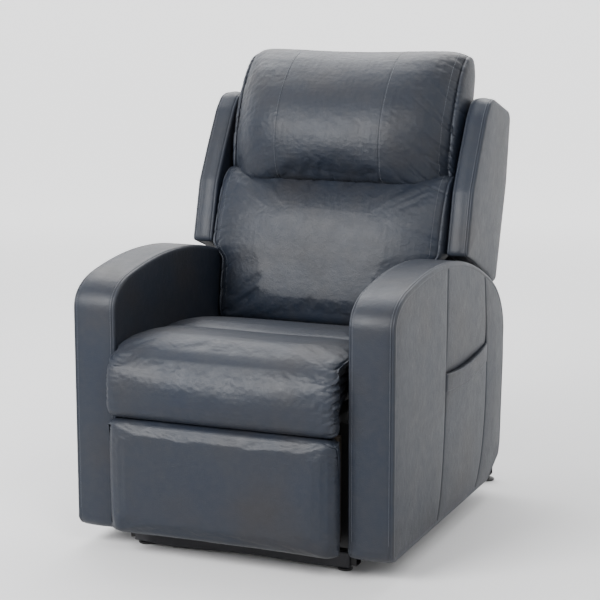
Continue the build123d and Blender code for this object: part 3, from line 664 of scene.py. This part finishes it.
def arm(side, leather, thread):
    """One arm: band over front and top between two welted seams, puffed inner side, panelled outer side."""
    name = f"arm_{SIDES[side]}"
    outer, inner = ARM_HIGH.x + 2 * MM, ARM_LOW.x - 6 * MM
    count = 300
    node = f"arm_pad_{SIDES[side]}"
    loop = soft_loop(node_outline(node), count, 0.004)
    # the wings come down close behind the upper rear edge when the back reclines, so it stays lean there
    lean = weight_by_facing(loop, 1, 0.45, 0.5) * np.clip((loop[:, 1] - 0.34) / 0.05, 0, 1)
    rear = 4 * weight_by_facing(loop, 1, -0.2, 1.0) * (1 - lean)
    padding = 1 + 3 * weight_by_facing(loop, 0, -1, 1.0) + rear - lean
    loop = loop - inward(loop) * (padding * MM)[:, None]
    centre = np.array([-0.06, 0.33])
    rings = []
    for scale in (0.04, 0.2, 0.4, 0.6, 0.75, 0.87, 0.94):
        rings.append(ring(loop, inner + (0.5 + 3.0 * scale**4) * MM, 0.010, scale, centre))
    rings += edge_rings(loop, inner + 3.4 * MM, 1)
    first_stitch = 7 + STITCH_ROW
    band_from, band_to = inner + 17 * MM, outer - 14 * MM
    for share in np.linspace(0, 1, 9):
        crown = (-1.2 - 1.6 * math.sin(math.pi * share)) * (1 - 0.9 * lean)
        rings.append(ring(loop, band_from + (band_to - band_from) * share, crown * MM))
    second_stitch = len(rings) + len(EDGE) - 1 - STITCH_ROW
    rings += edge_rings(loop, outer - 0.4 * MM, -1)[::-1]
    deep = POCKET_LOW.x - 29 * MM
    rings.append(ring(loop, outer - 3.0 * MM, 0.014))
    rings.append(ring(loop, deep + 6 * MM, 0.017))
    for scale in (0.93, 0.8, 0.6, 0.3, 0.04):
        rings.append(ring(loop, deep, 0.018, scale, centre))
    rings = [r * (side, 1, 1) for r in rings]
    body = skin(name, rings, leather, "carriage")
    seen = lambda p: p[2] > ARM_LOW.z + 0.03 and not (p[1] > 0.2 and p[2] < 0.45)
    lines = row_line(body, first_stitch, count, seen) + row_line(body, second_stitch, count, seen)
    stitches(f"{name}_stitching", lines, thread, "carriage")
    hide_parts(node)
    arm_side_panels(side, loop, outer, leather, thread)


HEM = 44 * MM  # depth of the hem below the pocket's mouth


def arm_side_panels(side, loop, outer, leather, thread):
    """Three outer panels parted by two bowed seams; the left arm's middle one carries the pocket."""
    stem = f"arm_{SIDES[side]}"
    edge = loop + inward(loop) * 0.0062
    y_front, y_rear = POCKET_LOW.y, POCKET_HIGH.y
    low_z = edge[:, 1].min()
    bottom_front = nearest(edge, edge[:, 0].min(), low_z)
    bottom_rear = nearest(edge, ARM_HIGH.y - 0.115, low_z)
    top_front = nearest(edge, edge[:, 0].min(), 0.53)
    top_rear = nearest(edge, 0.368, 0.45)
    foot_1 = nearest(edge, y_front - 0.058, low_z)
    foot_2 = nearest(edge, y_rear - 0.090, low_z)
    head_1 = nearest(edge, y_front + 0.004, 0.64)
    head_2 = nearest(edge, y_rear - 0.026, 0.59)

    def seam(foot, head, waist_y):
        """Bowed seam: in at the foot, then up past the pocket's mouth to the top."""
        foot_point, head_point = edge[foot], edge[head]
        t = np.linspace(0, 1, 60)[:, None]
        waist = np.array([waist_y, POCKET_HIGH.z - 0.03])
        lower = np.array([waist_y - 0.004, 0.12])
        a = (1 - t) ** 3 * foot_point + 3 * (1 - t) ** 2 * t * lower
        return a + 3 * (1 - t) * t**2 * waist + t**3 * head_point

    def patch(bottom, top, front, rear, across, up):
        u, v = fine_ends(across), fine_ends(up)
        return coons(spaced(bottom, u), spaced(top, u), spaced(front, v), spaced(rear, v))

    seam_1 = seam(foot_1, head_1, y_front + 0.006)
    seam_2 = seam(foot_2, head_2, y_rear + 0.018)
    base = outer - 1.2 * MM
    back = outer - 6.5 * MM

    def stretch(start, end):
        """Edge between two places, the short way round."""
        one = between(edge, start, end)
        other = between(edge, end, start)[::-1]
        return one if len(one) < len(other) else other

    def make(name, grid, edges, puff=3.4, extra=0.0, back_x=back):
        """Panel over padding: puffed between its seams, closed by a flat back."""
        distance = seam_fall(grid, edges)
        crown = puff * MM * (1 - np.exp(-distance / 0.045))
        height = base - 2.6 * MM * np.exp(-distance / (2.2 * MM)) + crown
        front = np.dstack([(height + extra) * side, grid])
        rear = np.dstack([np.full(height.shape, back_x * side), grid])
        size = (*grid.shape[:2], leather, "carriage", "leather")
        return leaf(f"{stem}_{name}", front.reshape(-1, 3), rear.reshape(-1, 3), *size)

    everywhere = ("front", "rear", "bottom", "top")
    front_top, front_side = stretch(top_front, head_1), stretch(bottom_front, top_front)
    front_grid = patch(stretch(bottom_front, foot_1), front_top, front_side, seam_1, 40, 64)
    make("front_panel", front_grid, everywhere)
    rear_top, rear_side = stretch(head_2, top_rear), stretch(bottom_rear, top_rear)
    rear_grid = patch(stretch(foot_2, bottom_rear), rear_top, seam_2, rear_side, 34, 64)
    make("rear_panel", rear_grid, everywhere)
    if side < 0:
        middle = patch(stretch(foot_1, foot_2), stretch(head_1, head_2), seam_1, seam_2, 44, 64)
        make("middle_panel", middle, everywhere)
        return
    mouth_z = POCKET_HIGH.z
    cut_1 = int(np.argmin(np.abs(seam_1[:, 1] - mouth_z + 0.006)))
    cut_2 = int(np.argmin(np.abs(seam_2[:, 1] - mouth_z - 0.007)))
    t = np.linspace(0, 1, 40)[:, None]
    mouth = seam_1[cut_1] * (1 - t) + seam_2[cut_2] * t
    sag = 12 * MM
    mouth[:, 1] -= sag * np.sin(np.pi * t[:, 0]) ** 0.9
    # pocket below the mouth, its hem turned over and standing a little open
    pocket_grid = patch(stretch(foot_1, foot_2), mouth, seam_1[: cut_1 + 1], seam_2[: cut_2 + 1], 48, 84)
    below = np.linalg.norm(pocket_grid - pocket_grid[-1][None], axis=2)
    share = np.linspace(0, 1, pocket_grid.shape[1])[None, :]
    opening = 5.5 * MM * np.sin(np.pi * share) * np.exp(-below / 0.07)
    hem_fold = 1.6 * MM * (below < HEM)
    hem_fold = hem_fold - 1.5 * MM * np.exp(-(((below - HEM - 1 * MM) / 0.0018) ** 2))
    hem_fold = hem_fold - 1.8 * MM * np.exp(-below / (1.5 * MM))
    pocket = make("pocket", pocket_grid, ("front", "rear", "bottom"), 2.4, opening + hem_fold)
    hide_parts("side_pocket")
    # panel above the mouth runs down behind it
    behind = mouth.copy()
    behind[:, 1] -= 0.022
    cut_a, cut_b = max(cut_1 - 3, 0), max(cut_2 - 3, 0)
    upper_grid = patch(behind, stretch(head_1, head_2), seam_1[cut_a:], seam_2[cut_b:], 44, 40)
    above = upper_grid[:, :, 1] - (mouth_z - 0.02)
    tuck = -9.5 * MM * np.exp(-np.clip(above, 0, 1) / 0.024)
    make("upper_panel", upper_grid, ("front", "rear", "top"), 2.8, tuck, back - 6.8 * MM)
    columns = pocket_grid.shape[1]
    index = [int(np.argmin(np.abs(below[:, c] - HEM + 3 * MM))) * columns + c for c in range(3, columns - 3)]
    hem = (mesh_points(pocket)[index], mesh_normals(pocket)[index])
    stitches("pocket_hem_stitching", [hem], thread, "carriage")


# ---- cushions ----
LEAN = math.radians(15)
UP = np.array([math.sin(LEAN), math.cos(LEAN)])  # up the leaning back, in (y, z)
BACKWARD = np.array([math.cos(LEAN), -math.sin(LEAN)])


def weight_by_facing(loop, facing_y, facing_z, sharpness=1.5):
    """1 where the loop faces the given way, falling to 0 as it turns from it."""
    out = -inward(loop)
    facing = np.array([facing_y, facing_z]) / math.hypot(facing_y, facing_z)
    return np.clip(out @ facing, 0, 1) ** sharpness


def cushion(name, rings, pins, body, leather, pressure, cap):
    """Coarse cushion filled by cloth simulation; its rings come back twice as dense."""
    count = len(rings[0])
    piece = skin(name, rings, leather, body)
    pinned = np.concatenate([np.asarray(pins).reshape(-1), [1, 1]])
    inflate(piece, pinned, pressure, cap)
    grid = dense(mesh_points(piece)[: len(rings) * count].reshape(len(rings), count, 3))
    bpy.data.objects.remove(piece)
    return grid


PILLOW_PRESSURE, PAD_FILL = 3.5, 0.8  # of the cloth simulation, and how full the foam is


def pad_rings(loop, middle, half, ends, inner, centre, pinned):
    """Rings and pins of a pad: `ends` rounds both ends, `inner` lists the plain rings between them.

    Each end ring is (distance in from the end, inset, scale, pin).
    """
    stations = [(-half + gap, inset, scale, pin) for gap, inset, scale, pin in ends]
    stations += [(x, 0.0, 1.0, 0.0) for x in inner]
    stations += [(half - gap, inset, scale, pin) for gap, inset, scale, pin in ends[::-1]]
    rings = [ring(loop, middle + x, inset, scale, centre) for x, inset, scale, pin in stations]
    return rings, [np.maximum(pin, pinned) for x, inset, scale, pin in stations]


def finish_cushion(name, grid, body, leather, node):
    """The finished cushion stands for its CAD pad, which is hidden."""
    piece = skin(name, list(grid), leather, body)
    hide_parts(node)


TURN_Y = -0.456  # where the leather of seat and footrest starts to turn in behind the arms' front


def tuck_ends(grid, middle, half):
    """Draw the ends in behind the arms' front plane, where the leather goes round to the board."""
    off = grid[:, :, 0] - middle
    share = np.clip((np.abs(off) - 0.19) / (half - 0.19), 0, 1)
    behind = np.clip((grid[:, :, 1] - TURN_Y) / 0.026, 0, 1)
    behind = behind * behind * (3 - 2 * behind)
    grid[:, :, 0] -= np.sign(off) * 15 * MM * behind * share
    return grid


SEAM_Y = -0.233  # cross seam of the seat
SEAT_LOOP = (  # section of the seat, in (y, z) millimetres
    (-470, 319), (-483, 332), (-487, 352), (-488, 380), (-486, 408), (-479, 436), (-464, 461),
    (-441, 479), (-410, 490), (-370, 494.5), (-320, 494), (-275, 491), (-247, 486), (-233, 482),
    (-219, 485), (-185, 489), (-140, 487), (-80, 479), (-20, 468), (30, 457), (62, 446), (84, 434),
    (88, 420), (86, 378), (60, 376), (-400, 376), (-427, 372), (-429, 330), (-432, 319),
)


def seat(leather):
    """Seat pad with its front roll, a cross seam towards the back and gathers at the roll's ends."""
    count = 250
    loop = soft_loop(np.array(SEAT_LOOP)[::-1] * MM, count, 0.0055)
    centre = np.array([-0.34, 0.43])
    middle, half = -0.0065, SEAT_HIGH.x + 0.006
    front = weight_by_facing(loop, -1, 0.15, 1.0)
    under = weight_by_facing(loop, 0, -1) > 0.3
    ends = [(0.0, 18 * MM, *row) for row in ((0.05, 1), (0.35, 1), (0.6, 1), (0.8, 1), (0.92, 1))]
    rim = ((1.5, 15, 0.9), (3.5, 9.5, 0.5), (7, 5.5, 0.2), (12, 2.6, 0.0), (19, 0.8, 0.0))
    ends += [(gap * MM, inset * MM, 1.0, pin) for gap, inset, pin in rim]
    inner = np.linspace(-half + 0.028, half - 0.028, 58)
    rings, pins = pad_rings(loop, middle, half, ends, inner, centre, under)
    grid = cushion("seat", rings, pins, "carriage", leather, 1.6, 4 * MM)
    normals = grid_normals(grid)
    x, y, z = grid[:, :, 0], grid[:, :, 1], grid[:, :, 2]
    facing = np.repeat(front, 2)[None, :]
    upper = np.clip((normals[:, :, 2] - 0.25) / 0.4, 0, 1) * (z > 0.44)
    for side, strength in ((1, 6.5), (-1, 2.5)):
        gap = half - side * (x - middle)
        gather = creases(z + 0.35 * gap, gap, 3.1 + side, 0.021, 0.05)
        fade = np.exp(-np.clip(gap, 0, 1) / 0.017) * np.clip(facing * 1.6, 0, 1)
        grid = grid - normals * (strength * MM * gather * fade)[:, :, None]
    bowed = SEAM_Y + 0.012 * ((x - middle) / half) ** 2
    off_seam = y - bowed
    groove = 3.4 * np.exp(-np.abs(off_seam) / 0.005) + 0.8 * np.exp(-((off_seam / 0.03) ** 2))
    grid = grid - normals * (groove * MM * upper)[:, :, None]
    dip = 1.6 * MM * swells(grid, 4.0, 0.24) * (upper + facing * 0.6)
    grid = grid + normals * dip[:, :, None]
    edge_drop = 9 * MM * np.clip((np.abs(x - middle) - 0.17) / 0.10, 0, 1) ** 2 * upper
    grid[:, :, 2] -= edge_drop
    tucked = tuck_ends(grid.copy(), middle, half)
    below = np.clip((0.475 - grid[:, :, 2]) / 0.02, 0, 1)[:, :, None]
    grid = grid * (1 - below) + tucked * below
    finish_cushion("seat", grid, "carriage", leather, "seat_cushion")


def footrest(leather):
    """Footrest pad: wrapped board with soft edges and small pleats at its upper corners."""
    count = 180
    profile = ((-478, 316), (-441, 317), (-417, 312), (-415, 66), (-424, 57), (-470, 55))
    profile += ((-481, 64), (-487, 90), (-488.5, 190), (-488, 285), (-486, 306))
    loop = soft_loop(np.array(profile)[::-1] * MM, count, 0.006)
    centre = (loop.max(axis=0) + loop.min(axis=0)) / 2
    middle, half = -0.005, REST_HIGH.x + 0.005
    front = weight_by_facing(loop, -1, 0, 1.0)
    back = weight_by_facing(loop, 1, 0) > 0.5
    full = (11 + 22 * front) * MM
    # rounding of the ends: (distance in from the end in mm, share of the full inset, scale, pin)
    rim = [(0.0, 1.0, 0.05, 1.0), (0.0, 1.0, 0.5, 1.0), (0.0, 1.0, 0.85, 1.0), (0.6, 0.82, 1.0, 1.0)]
    rim += [(2.4, 0.63, 1.0, 0.6), (5.5, 0.44, 1.0, 0.2), (10, 0.27, 1.0, 0.0), (16, 0.13, 1.0, 0.0)]
    rim += [(23, 0.04, 1.0, 0.0)]
    ends = [(gap * MM, share * full, scale, pin) for gap, share, scale, pin in rim]
    inner = np.linspace(-half + 0.032, half - 0.032, 54)
    rings, pins = pad_rings(loop, middle, half, ends, inner, centre, back)
    grid = cushion("footrest_cover", rings, pins, "footrest", leather, 1.5, 3 * MM)
    normals = grid_normals(grid)
    x, z = grid[:, :, 0], grid[:, :, 2]
    facing = np.repeat(front, 2)[None, :]
    high = np.exp(-(((z - REST_HIGH.z) / 0.035) ** 2))
    for side in (1, -1):
        gap = half - side * (x - middle)
        gather = creases(z * 1.2 - 0.5 * gap, gap, 5.2 + side, 0.02, 0.05)
        fade = np.exp(-np.clip(gap, 0, 1) / 0.016) * (0.25 + high) * (1.0 if side > 0 else 0.6)
        grid = grid - normals * (4.5 * MM * gather * fade * np.clip(facing + high, 0, 1))[:, :, None]
    grid = grid + normals * (1.8 * MM * swells(grid, 8.0, 0.17) * facing)[:, :, None]
    grid = tuck_ends(grid, middle, half)
    finish_cushion("footrest_cover", grid, "footrest", leather, "footrest_pad")


# gusset of a back cushion: (scale of the ring, pin), from its middle out to the side seam
CAP = ((0.04, 1), (0.25, 1), (0.45, 1), (0.62, 0.9), (0.76, 0.6), (0.86, 0.3), (0.93, 0.15), (0.975, 0.1))
PILLOW_COUNT, PILLOW_STATIONS = 180, 74


def back_pillow(
    name, node, leather, thread, profile, soften, thin, power, ears, seam_x, widest, cap, shape, seen,
    seams=(),
):
    """Back cushion: its section thins towards the side seams, with a bulged gusset closing each end.

    `profile` is its section in (y, z) millimetres, `thin` and `power` say how it thins towards the
    seams at `seam_x`, `ears` lifts its upper corners, `shape` creases the filled grid, `seen` tells
    where stitching shows, and `seams` are the places of the seams between its panels.
    """
    loop = soft_loop(np.array(profile)[::-1] * MM, PILLOW_COUNT, soften)
    depth, height = loop @ BACKWARD, loop @ UP
    rear, top, foot = depth.max(), height.max(), height.min()
    forward = rear - depth
    rise = (height - foot) / (top - foot)

    def section(x, scale=1.0, groove=0.0):
        share = min(1.0, abs(x) / seam_x)
        w = forward * (1 - thin * share**power - 0.25 * groove)
        lifted = ears * (share**2 - share**14 * 0.9) * rise**3
        u = height + lifted - groove * 0.004 * (rise - 0.5)
        if scale < 1:
            w_mid, u_mid = w.max() * 0.42, (u.max() + u.min()) / 2
            w, u = w_mid + (w - w_mid) * scale, u_mid + (u - u_mid) * (1 - (1 - scale) * 0.75)
        return UP[None] * u[:, None] + BACKWARD[None] * (rear - w)[:, None]

    backed = weight_by_facing(loop, 1, -0.27) > 0.8
    rings, pins = [], []

    def add(x, flat, pin):
        rings.append(np.column_stack([np.full(PILLOW_COUNT, x), flat]))
        pins.append(np.maximum(pin, backed))

    side = []
    for scale, pin in CAP:
        bulge = (widest - seam_x) * (1 - scale**2.0) ** 0.35
        side.append((seam_x + bulge, section(seam_x, scale), pin))
    side.append((seam_x + 1.2 * MM, section(seam_x, 1.0), 0.4))
    side.append((seam_x - 0.5 * MM, section(seam_x, 1.0, 0.12), 1.0))
    stations = np.linspace(-seam_x + 4 * MM, seam_x - 4 * MM, PILLOW_STATIONS)
    for seam in seams:
        stations = stations[np.abs(stations - seam) > 5.5 * MM]
        stations = np.concatenate([stations, seam + np.array([-3.5, -1.1, 0, 1.1, 3.5]) * MM])
    stations = np.sort(stations)
    for x, flat, pin in side:
        add(-x, flat, pin)
    for x in stations:
        add(x, section(x), 0.0)
    for x, flat, pin in side[::-1]:
        add(x, flat, pin)
    grid = cushion(name, rings, pins, "back", leather, PILLOW_PRESSURE, cap)
    grid = shape(grid, grid_normals(grid), seam_x)
    normals = grid_normals(grid)
    first = 2 * len(side)
    lines = []
    for row in (first + 3, len(grid) - 1 - first - 3):
        lines += runs_seen(grid[row], normals[row], seen)
    stitches(f"{name}_side_stitching", lines, thread, "back")
    for seam in seams:
        row = int(np.argmin(np.abs(grid[:, :, 0].mean(axis=1) - seam)))
        grid[row] -= normals[row] * 2.0 * MM
        step, label = (4, "left") if seam > 0 else (-4, "right")
        lines = runs_seen(grid[row + step], normals[row + step], seen)
        stitches(f"{name}_panel_stitching_{label}", lines, thread, "back")
    finish_cushion(name, grid, "back", leather, node)


def seam_fade(gap, reach, least):
    """How strongly gathers show near a side seam: fading over the reach, and less on the seam itself."""
    on_front = np.exp(-np.clip(gap, 0, 1) / reach) * np.clip(least + np.abs(gap) / 0.012, 0, 1)
    return on_front * np.exp(np.minimum(gap, 0) / 0.02)


def front_weight(normals):
    """1 on surfaces facing the sitter, 0 on those facing away."""
    return np.clip(-(normals[:, :, 1] * BACKWARD[0] + normals[:, :, 2] * BACKWARD[1]) * 1.6, 0, 1)


def headrest(leather, thread):
    """Headrest pillow: three panels, deep crown, gathers radiating from both side seams."""
    profile = ((158, 782), (146, 792), (139, 815), (133, 850), (131, 888), (137, 930), (154, 972))
    profile += ((183, 1015), (222, 1055), (262, 1081), (300, 1093), (345, 1094), (382, 1084))
    profile += ((402, 1052), (388, 985), (350, 870), (322, 790), (290, 776), (210, 772))

    def shape(grid, normals, seam_x):
        x, y, z = grid[:, :, 0], grid[:, :, 1], grid[:, :, 2]
        up = y * UP[0] + z * UP[1]
        front = front_weight(normals)
        for side, strength in ((1, 7.0), (-1, 5.0)):
            gap = seam_x - side * x
            inside = np.clip(gap, 0, 1)
            low = np.clip(1.25 - (z - HEAD_LOW.z) / 0.30, 0.35, 1.15)
            gather = creases(up - 0.85 * gap, inside + 0.3 * up, 2.3 + side, 0.042, 0.16)
            small = creases(up - 0.4 * gap, inside, 7.7 + side, 0.021, 0.06)
            fine = 2.4 * small * np.exp(-inside / 0.016) * np.exp(np.minimum(gap, 0) / 0.01)
            depth = strength * gather * seam_fade(gap, 0.045, 0.25) * low + fine
            grid = grid - normals * (depth * MM * (0.35 + 0.65 * front))[:, :, None]
        foot = np.exp(-np.clip(z - 0.782, 0, 1) / 0.026)
        gather = creases(x + 0.5 * z, z, 12.0, 0.055, 0.07)
        grid = grid - normals * (3.5 * MM * gather * foot * np.clip(front + 0.4, 0, 1))[:, :, None]
        grid = grid + normals * (3.0 * MM * swells(grid, 1.0, 0.12) * front)[:, :, None]
        return grid

    back_pillow(
        "headrest", "headrest_pillow", leather, thread, profile, soften=10 * MM, thin=0.44, power=5.0,
        ears=15 * MM, seam_x=0.281, widest=0.300, cap=9 * MM, shape=shape,
        seen=lambda p: p[1] < 0.36 and p[2] > 0.79, seams=(-0.133, 0.133),
    )


def lower_cushion(leather, thread):
    """Lower back cushion, full across above the arms and tucked in between them below."""
    profile = ((80, 444), (64, 456), (58, 484), (64, 530), (73, 575), (83, 620), (95, 665), (109, 705))
    profile += ((127, 745), (146, 776), (170, 798), (205, 812), (240, 806), (262, 780), (232, 680))
    profile += ((150, 430), (110, 432))

    def shape(grid, normals, seam_x):
        x, y, z = grid[:, :, 0], grid[:, :, 1], grid[:, :, 2]
        up = y * UP[0] + z * UP[1]
        front = front_weight(normals)
        for side, strength in ((1, 3.2), (-1, 4.2)):
            gap = seam_x - side * x
            gather = creases(up - 0.5 * gap, np.clip(gap, 0, 1), 4.6 + side, 0.045, 0.15)
            gather = strength * gather * seam_fade(gap, 0.035, 0.3)
            grid = grid - normals * (gather * MM * (0.3 + 0.7 * front))[:, :, None]
        head = np.exp(-np.clip(0.795 - z, 0, 1) / 0.028)
        gather = creases(x - 0.4 * z, z, 15.0, 0.07, 0.12)
        grid = grid - normals * (3.2 * MM * gather * head * np.clip(front + 0.5, 0, 1))[:, :, None]
        grid = grid + normals * (3.0 * MM * swells(grid, 2.0, 0.14) * front)[:, :, None]
        squeeze = np.clip((grid[:, :, 2] - 0.585) / 0.05, 0, 1)
        squeeze = squeeze * squeeze * (3 - 2 * squeeze)
        grid[:, :, 0] *= 0.90 + 0.10 * squeeze
        return grid

    back_pillow(
        "lower_cushion", "lower_back_cushion", leather, thread, profile, soften=9 * MM, thin=0.24,
        power=7.0, ears=6 * MM, seam_x=0.291, widest=0.304, cap=6 * MM, shape=shape,
        seen=lambda p: p[1] < 0.27 and p[2] > 0.50,
    )


# ---- wings and outer back ----
def wing(side, leather, thread):
    """Side wing of the back: padded board with a wide front band between two seams."""
    node = f"wing_{SIDES[side]}"
    count = 260
    outline = [tuple(p) for p in node_outline(node)]
    notch = ((0.198, 0.604), (0.294, 0.563))  # the lower edge is hollowed, to pass over the arm
    for i, place in enumerate(outline):
        if place[0] < notch[0][0] and outline[(i + 1) % len(outline)][0] > notch[1][0]:
            outline[i + 1 : i + 1] = notch
            break
    loop = soft_loop(outline, count, 0.006)
    under = weight_by_facing(loop, -0.3, -1, 1.0)  # leaves room above the arm when the back reclines
    loop = loop - inward(loop) * ((2.5 - 5.0 * under) * MM)[:, None]
    centre = np.array([0.31, 0.76])
    inner, outer = WING_LOW.x, WING_HIGH.x
    rings = []
    for scale in (0.04, 0.3, 0.6, 0.8, 0.92):
        rings.append(ring(loop, inner + (0.6 + 2.4 * scale**4) * MM, 0.010, scale, centre))
    rings += edge_rings(loop, inner + 3.0 * MM, 1, EDGE[:8])
    for share in np.linspace(0, 1, 7):
        x = inner + 13 * MM + (outer - inner - 30 * MM) * share
        rings.append(ring(loop, x, (-0.8 - 2.2 * math.sin(math.pi * share)) * MM * (1 - 0.9 * under)))
    stitch_row = len(rings) + len(EDGE) - 1 - STITCH_ROW
    rings += edge_rings(loop, outer - 2.5 * MM, -1)[::-1]
    for scale in (0.92, 0.8, 0.6, 0.3, 0.04):
        rings.append(ring(loop, outer + (0.5 - 3.0 * scale**4) * MM, 0.010, scale, centre))
    rings = [r * (side, 1, 1) for r in rings]
    name = f"wing_cover_{SIDES[side]}"
    piece = skin(name, rings, leather, "back")
    seen = lambda p: p[2] > 0.64 and not (p[1] > 0.44 and p[2] < 0.92)
    stitches(f"{name}_stitching", row_line(piece, stitch_row, count, seen), thread, "back")
    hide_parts(node)


def outer_back(leather, thread):
    """Back cover: one panel from the top edge down between the arms, with a hem at its foot."""
    low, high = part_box("outer_back_panel")
    rear = list(node_outline("outer_back_panel"))
    start = int(np.argmin([p[1] for p in rear]))
    rear = rear[start:] + rear[:start]
    top_index = int(np.argmax([p[0] for p in rear]))
    path = along_path(np.array(rear[: top_index + 1]), 90, False)
    crest = np.array([[high.y - 0.004, high.z - 0.016], [high.y - 0.016, high.z - 0.006]])
    back_path = np.vstack([path[:-1], crest, [[low.y + 0.16, high.z]]])
    back_path = along_path(back_path, 110, False)
    wide, narrow = high.x, LUMBAR_HIGH.x - 0.002
    columns = 46
    outside, inside = [], []
    tangent = np.gradient(back_path, axis=0)
    tangent /= np.linalg.norm(tangent, axis=1)[:, None]
    out = np.column_stack([tangent[:, 1], -tangent[:, 0]])
    out *= np.sign(out[40][0])
    board = 9 * MM  # how far the inner side lies behind the cover
    for place, normal in zip(back_path, out):
        blend = min(1.0, max(0.0, (place[1] - 0.600) / 0.02))
        half = narrow + (wide - narrow) * blend
        for share in fine_ends(columns) * 2 - 1:
            x = share * half
            edge_gap = half - abs(x)
            foot_gap = np.linalg.norm(place - back_path[0])
            lift = 2.2 * MM * (1 - math.exp(-edge_gap / 0.05)) - 2.5 * MM * math.exp(-edge_gap / 0.003)
            lift -= 1.6 * MM * math.exp(-(((foot_gap - 0.03) / 0.0022) ** 2))
            lift += 0.9 * MM * noise.noise(Vector((x * 7, place[1] * 4, 3.0)))
            outside.append((x, *(place + normal * lift)))
            inside.append((x, *(place - normal * board)))
    size = (len(back_path), columns, leather, "back", "leather")
    piece = leaf("outer_back", outside, inside, *size)
    points, normals = mesh_points(piece), mesh_normals(piece)
    hem_row = int(np.argmin(np.abs(np.linalg.norm(back_path - back_path[0], axis=1) - 0.026)))
    index = list(range(hem_row * columns + 4, (hem_row + 1) * columns - 4))
    stitches("outer_back_hem_stitching", [(points[index], normals[index])], thread, "back")
    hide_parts("outer_back_panel")


# ---- base: dust cloth ----
def dust_cloth(cloth):
    """Black lining cloth slung under the front tube, its lower edge sagging unevenly."""
    low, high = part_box("dust_cloth")
    columns, rows = 60, 10
    front, back = [], []
    for r in range(rows):
        for c in range(columns):
            share = c / (columns - 1)
            x = low.x + (high.x - low.x) * share
            drop = r / (rows - 1)
            sag = 0.006 * math.sin(math.pi * share) + 0.004 * math.sin(2.3 * math.pi * share + 0.6)
            z = high.z - (high.z - low.z + sag) * drop
            y = low.y - 0.002 - 0.004 * drop * math.sin(5 * share + 1) ** 2
            front.append((x, y, max(z, 0.004)))
            back.append((x, y + 0.0015, max(z, 0.004)))
    piece = leaf("dust_cloth_hung", front, back, rows, columns, cloth, "base", "dust_cloth")
    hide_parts("dust_cloth")


def dress_cad_nodes(materials):
    """Give every CAD node that stays its detailed material, by the record's slot."""
    for part in frame["record"]["subparts"]:
        node = frame["nodes"][part["node"]]
        material = materials[part["material_slot"]]
        node.data.materials.clear()
        node.data.materials.append(material)


# ---- the chair ----
camera_and_stage()
leather = leather_material()
thread = thread_material()
materials = {"leather": leather, "timber": timber_material()}
# CAD materials by slot: dark tone, pale tone, then roughness or the scale of the threads
for slot, dark, pale, roughness in (
    ("black_steel", (0.004, 0.004, 0.0045), (0.009, 0.009, 0.010), 0.42),
    ("zinc_pin", (0.42, 0.42, 0.40), (0.58, 0.58, 0.56), 0.34),
    ("bright_rod", (0.55, 0.55, 0.56), (0.68, 0.68, 0.69), 0.18),
    ("spring_wire", (0.20, 0.20, 0.21), (0.33, 0.33, 0.34), 0.36),
):
    materials[slot] = steel_material(slot, dark, pale, roughness)
for slot, dark, pale, thread_scale in (
    ("webbing", (0.012, 0.012, 0.014), (0.03, 0.03, 0.034), 900),
    ("dust_cloth", (0.004, 0.004, 0.005), (0.010, 0.010, 0.011), 1400),
):
    materials[slot] = cloth_material(slot, dark, pale, thread_scale)
for slot, dark, pale, roughness in (
    ("foot_plastic", (0.006, 0.006, 0.007), (0.012, 0.012, 0.013), 0.4),
    ("motor_plastic", (0.016, 0.016, 0.018), (0.028, 0.028, 0.030), 0.55),
    ("handset_plastic", (0.022, 0.022, 0.025), (0.036, 0.036, 0.04), 0.5),
    ("button_plastic", (0.24, 0.25, 0.27), (0.30, 0.31, 0.33), 0.45),
):
    materials[slot] = plastic_material(slot, dark, pale, roughness)
dress_cad_nodes(materials)
dust_cloth(bpy.data.materials["dust_cloth"])  # the plain material that came with the frame
for side in (1, -1):
    arm(side, leather, thread)
    wing(side, leather, thread)
seat(leather)
footrest(leather)
lower_cushion(leather, thread)
headrest(leather, thread)
outer_back(leather, thread)
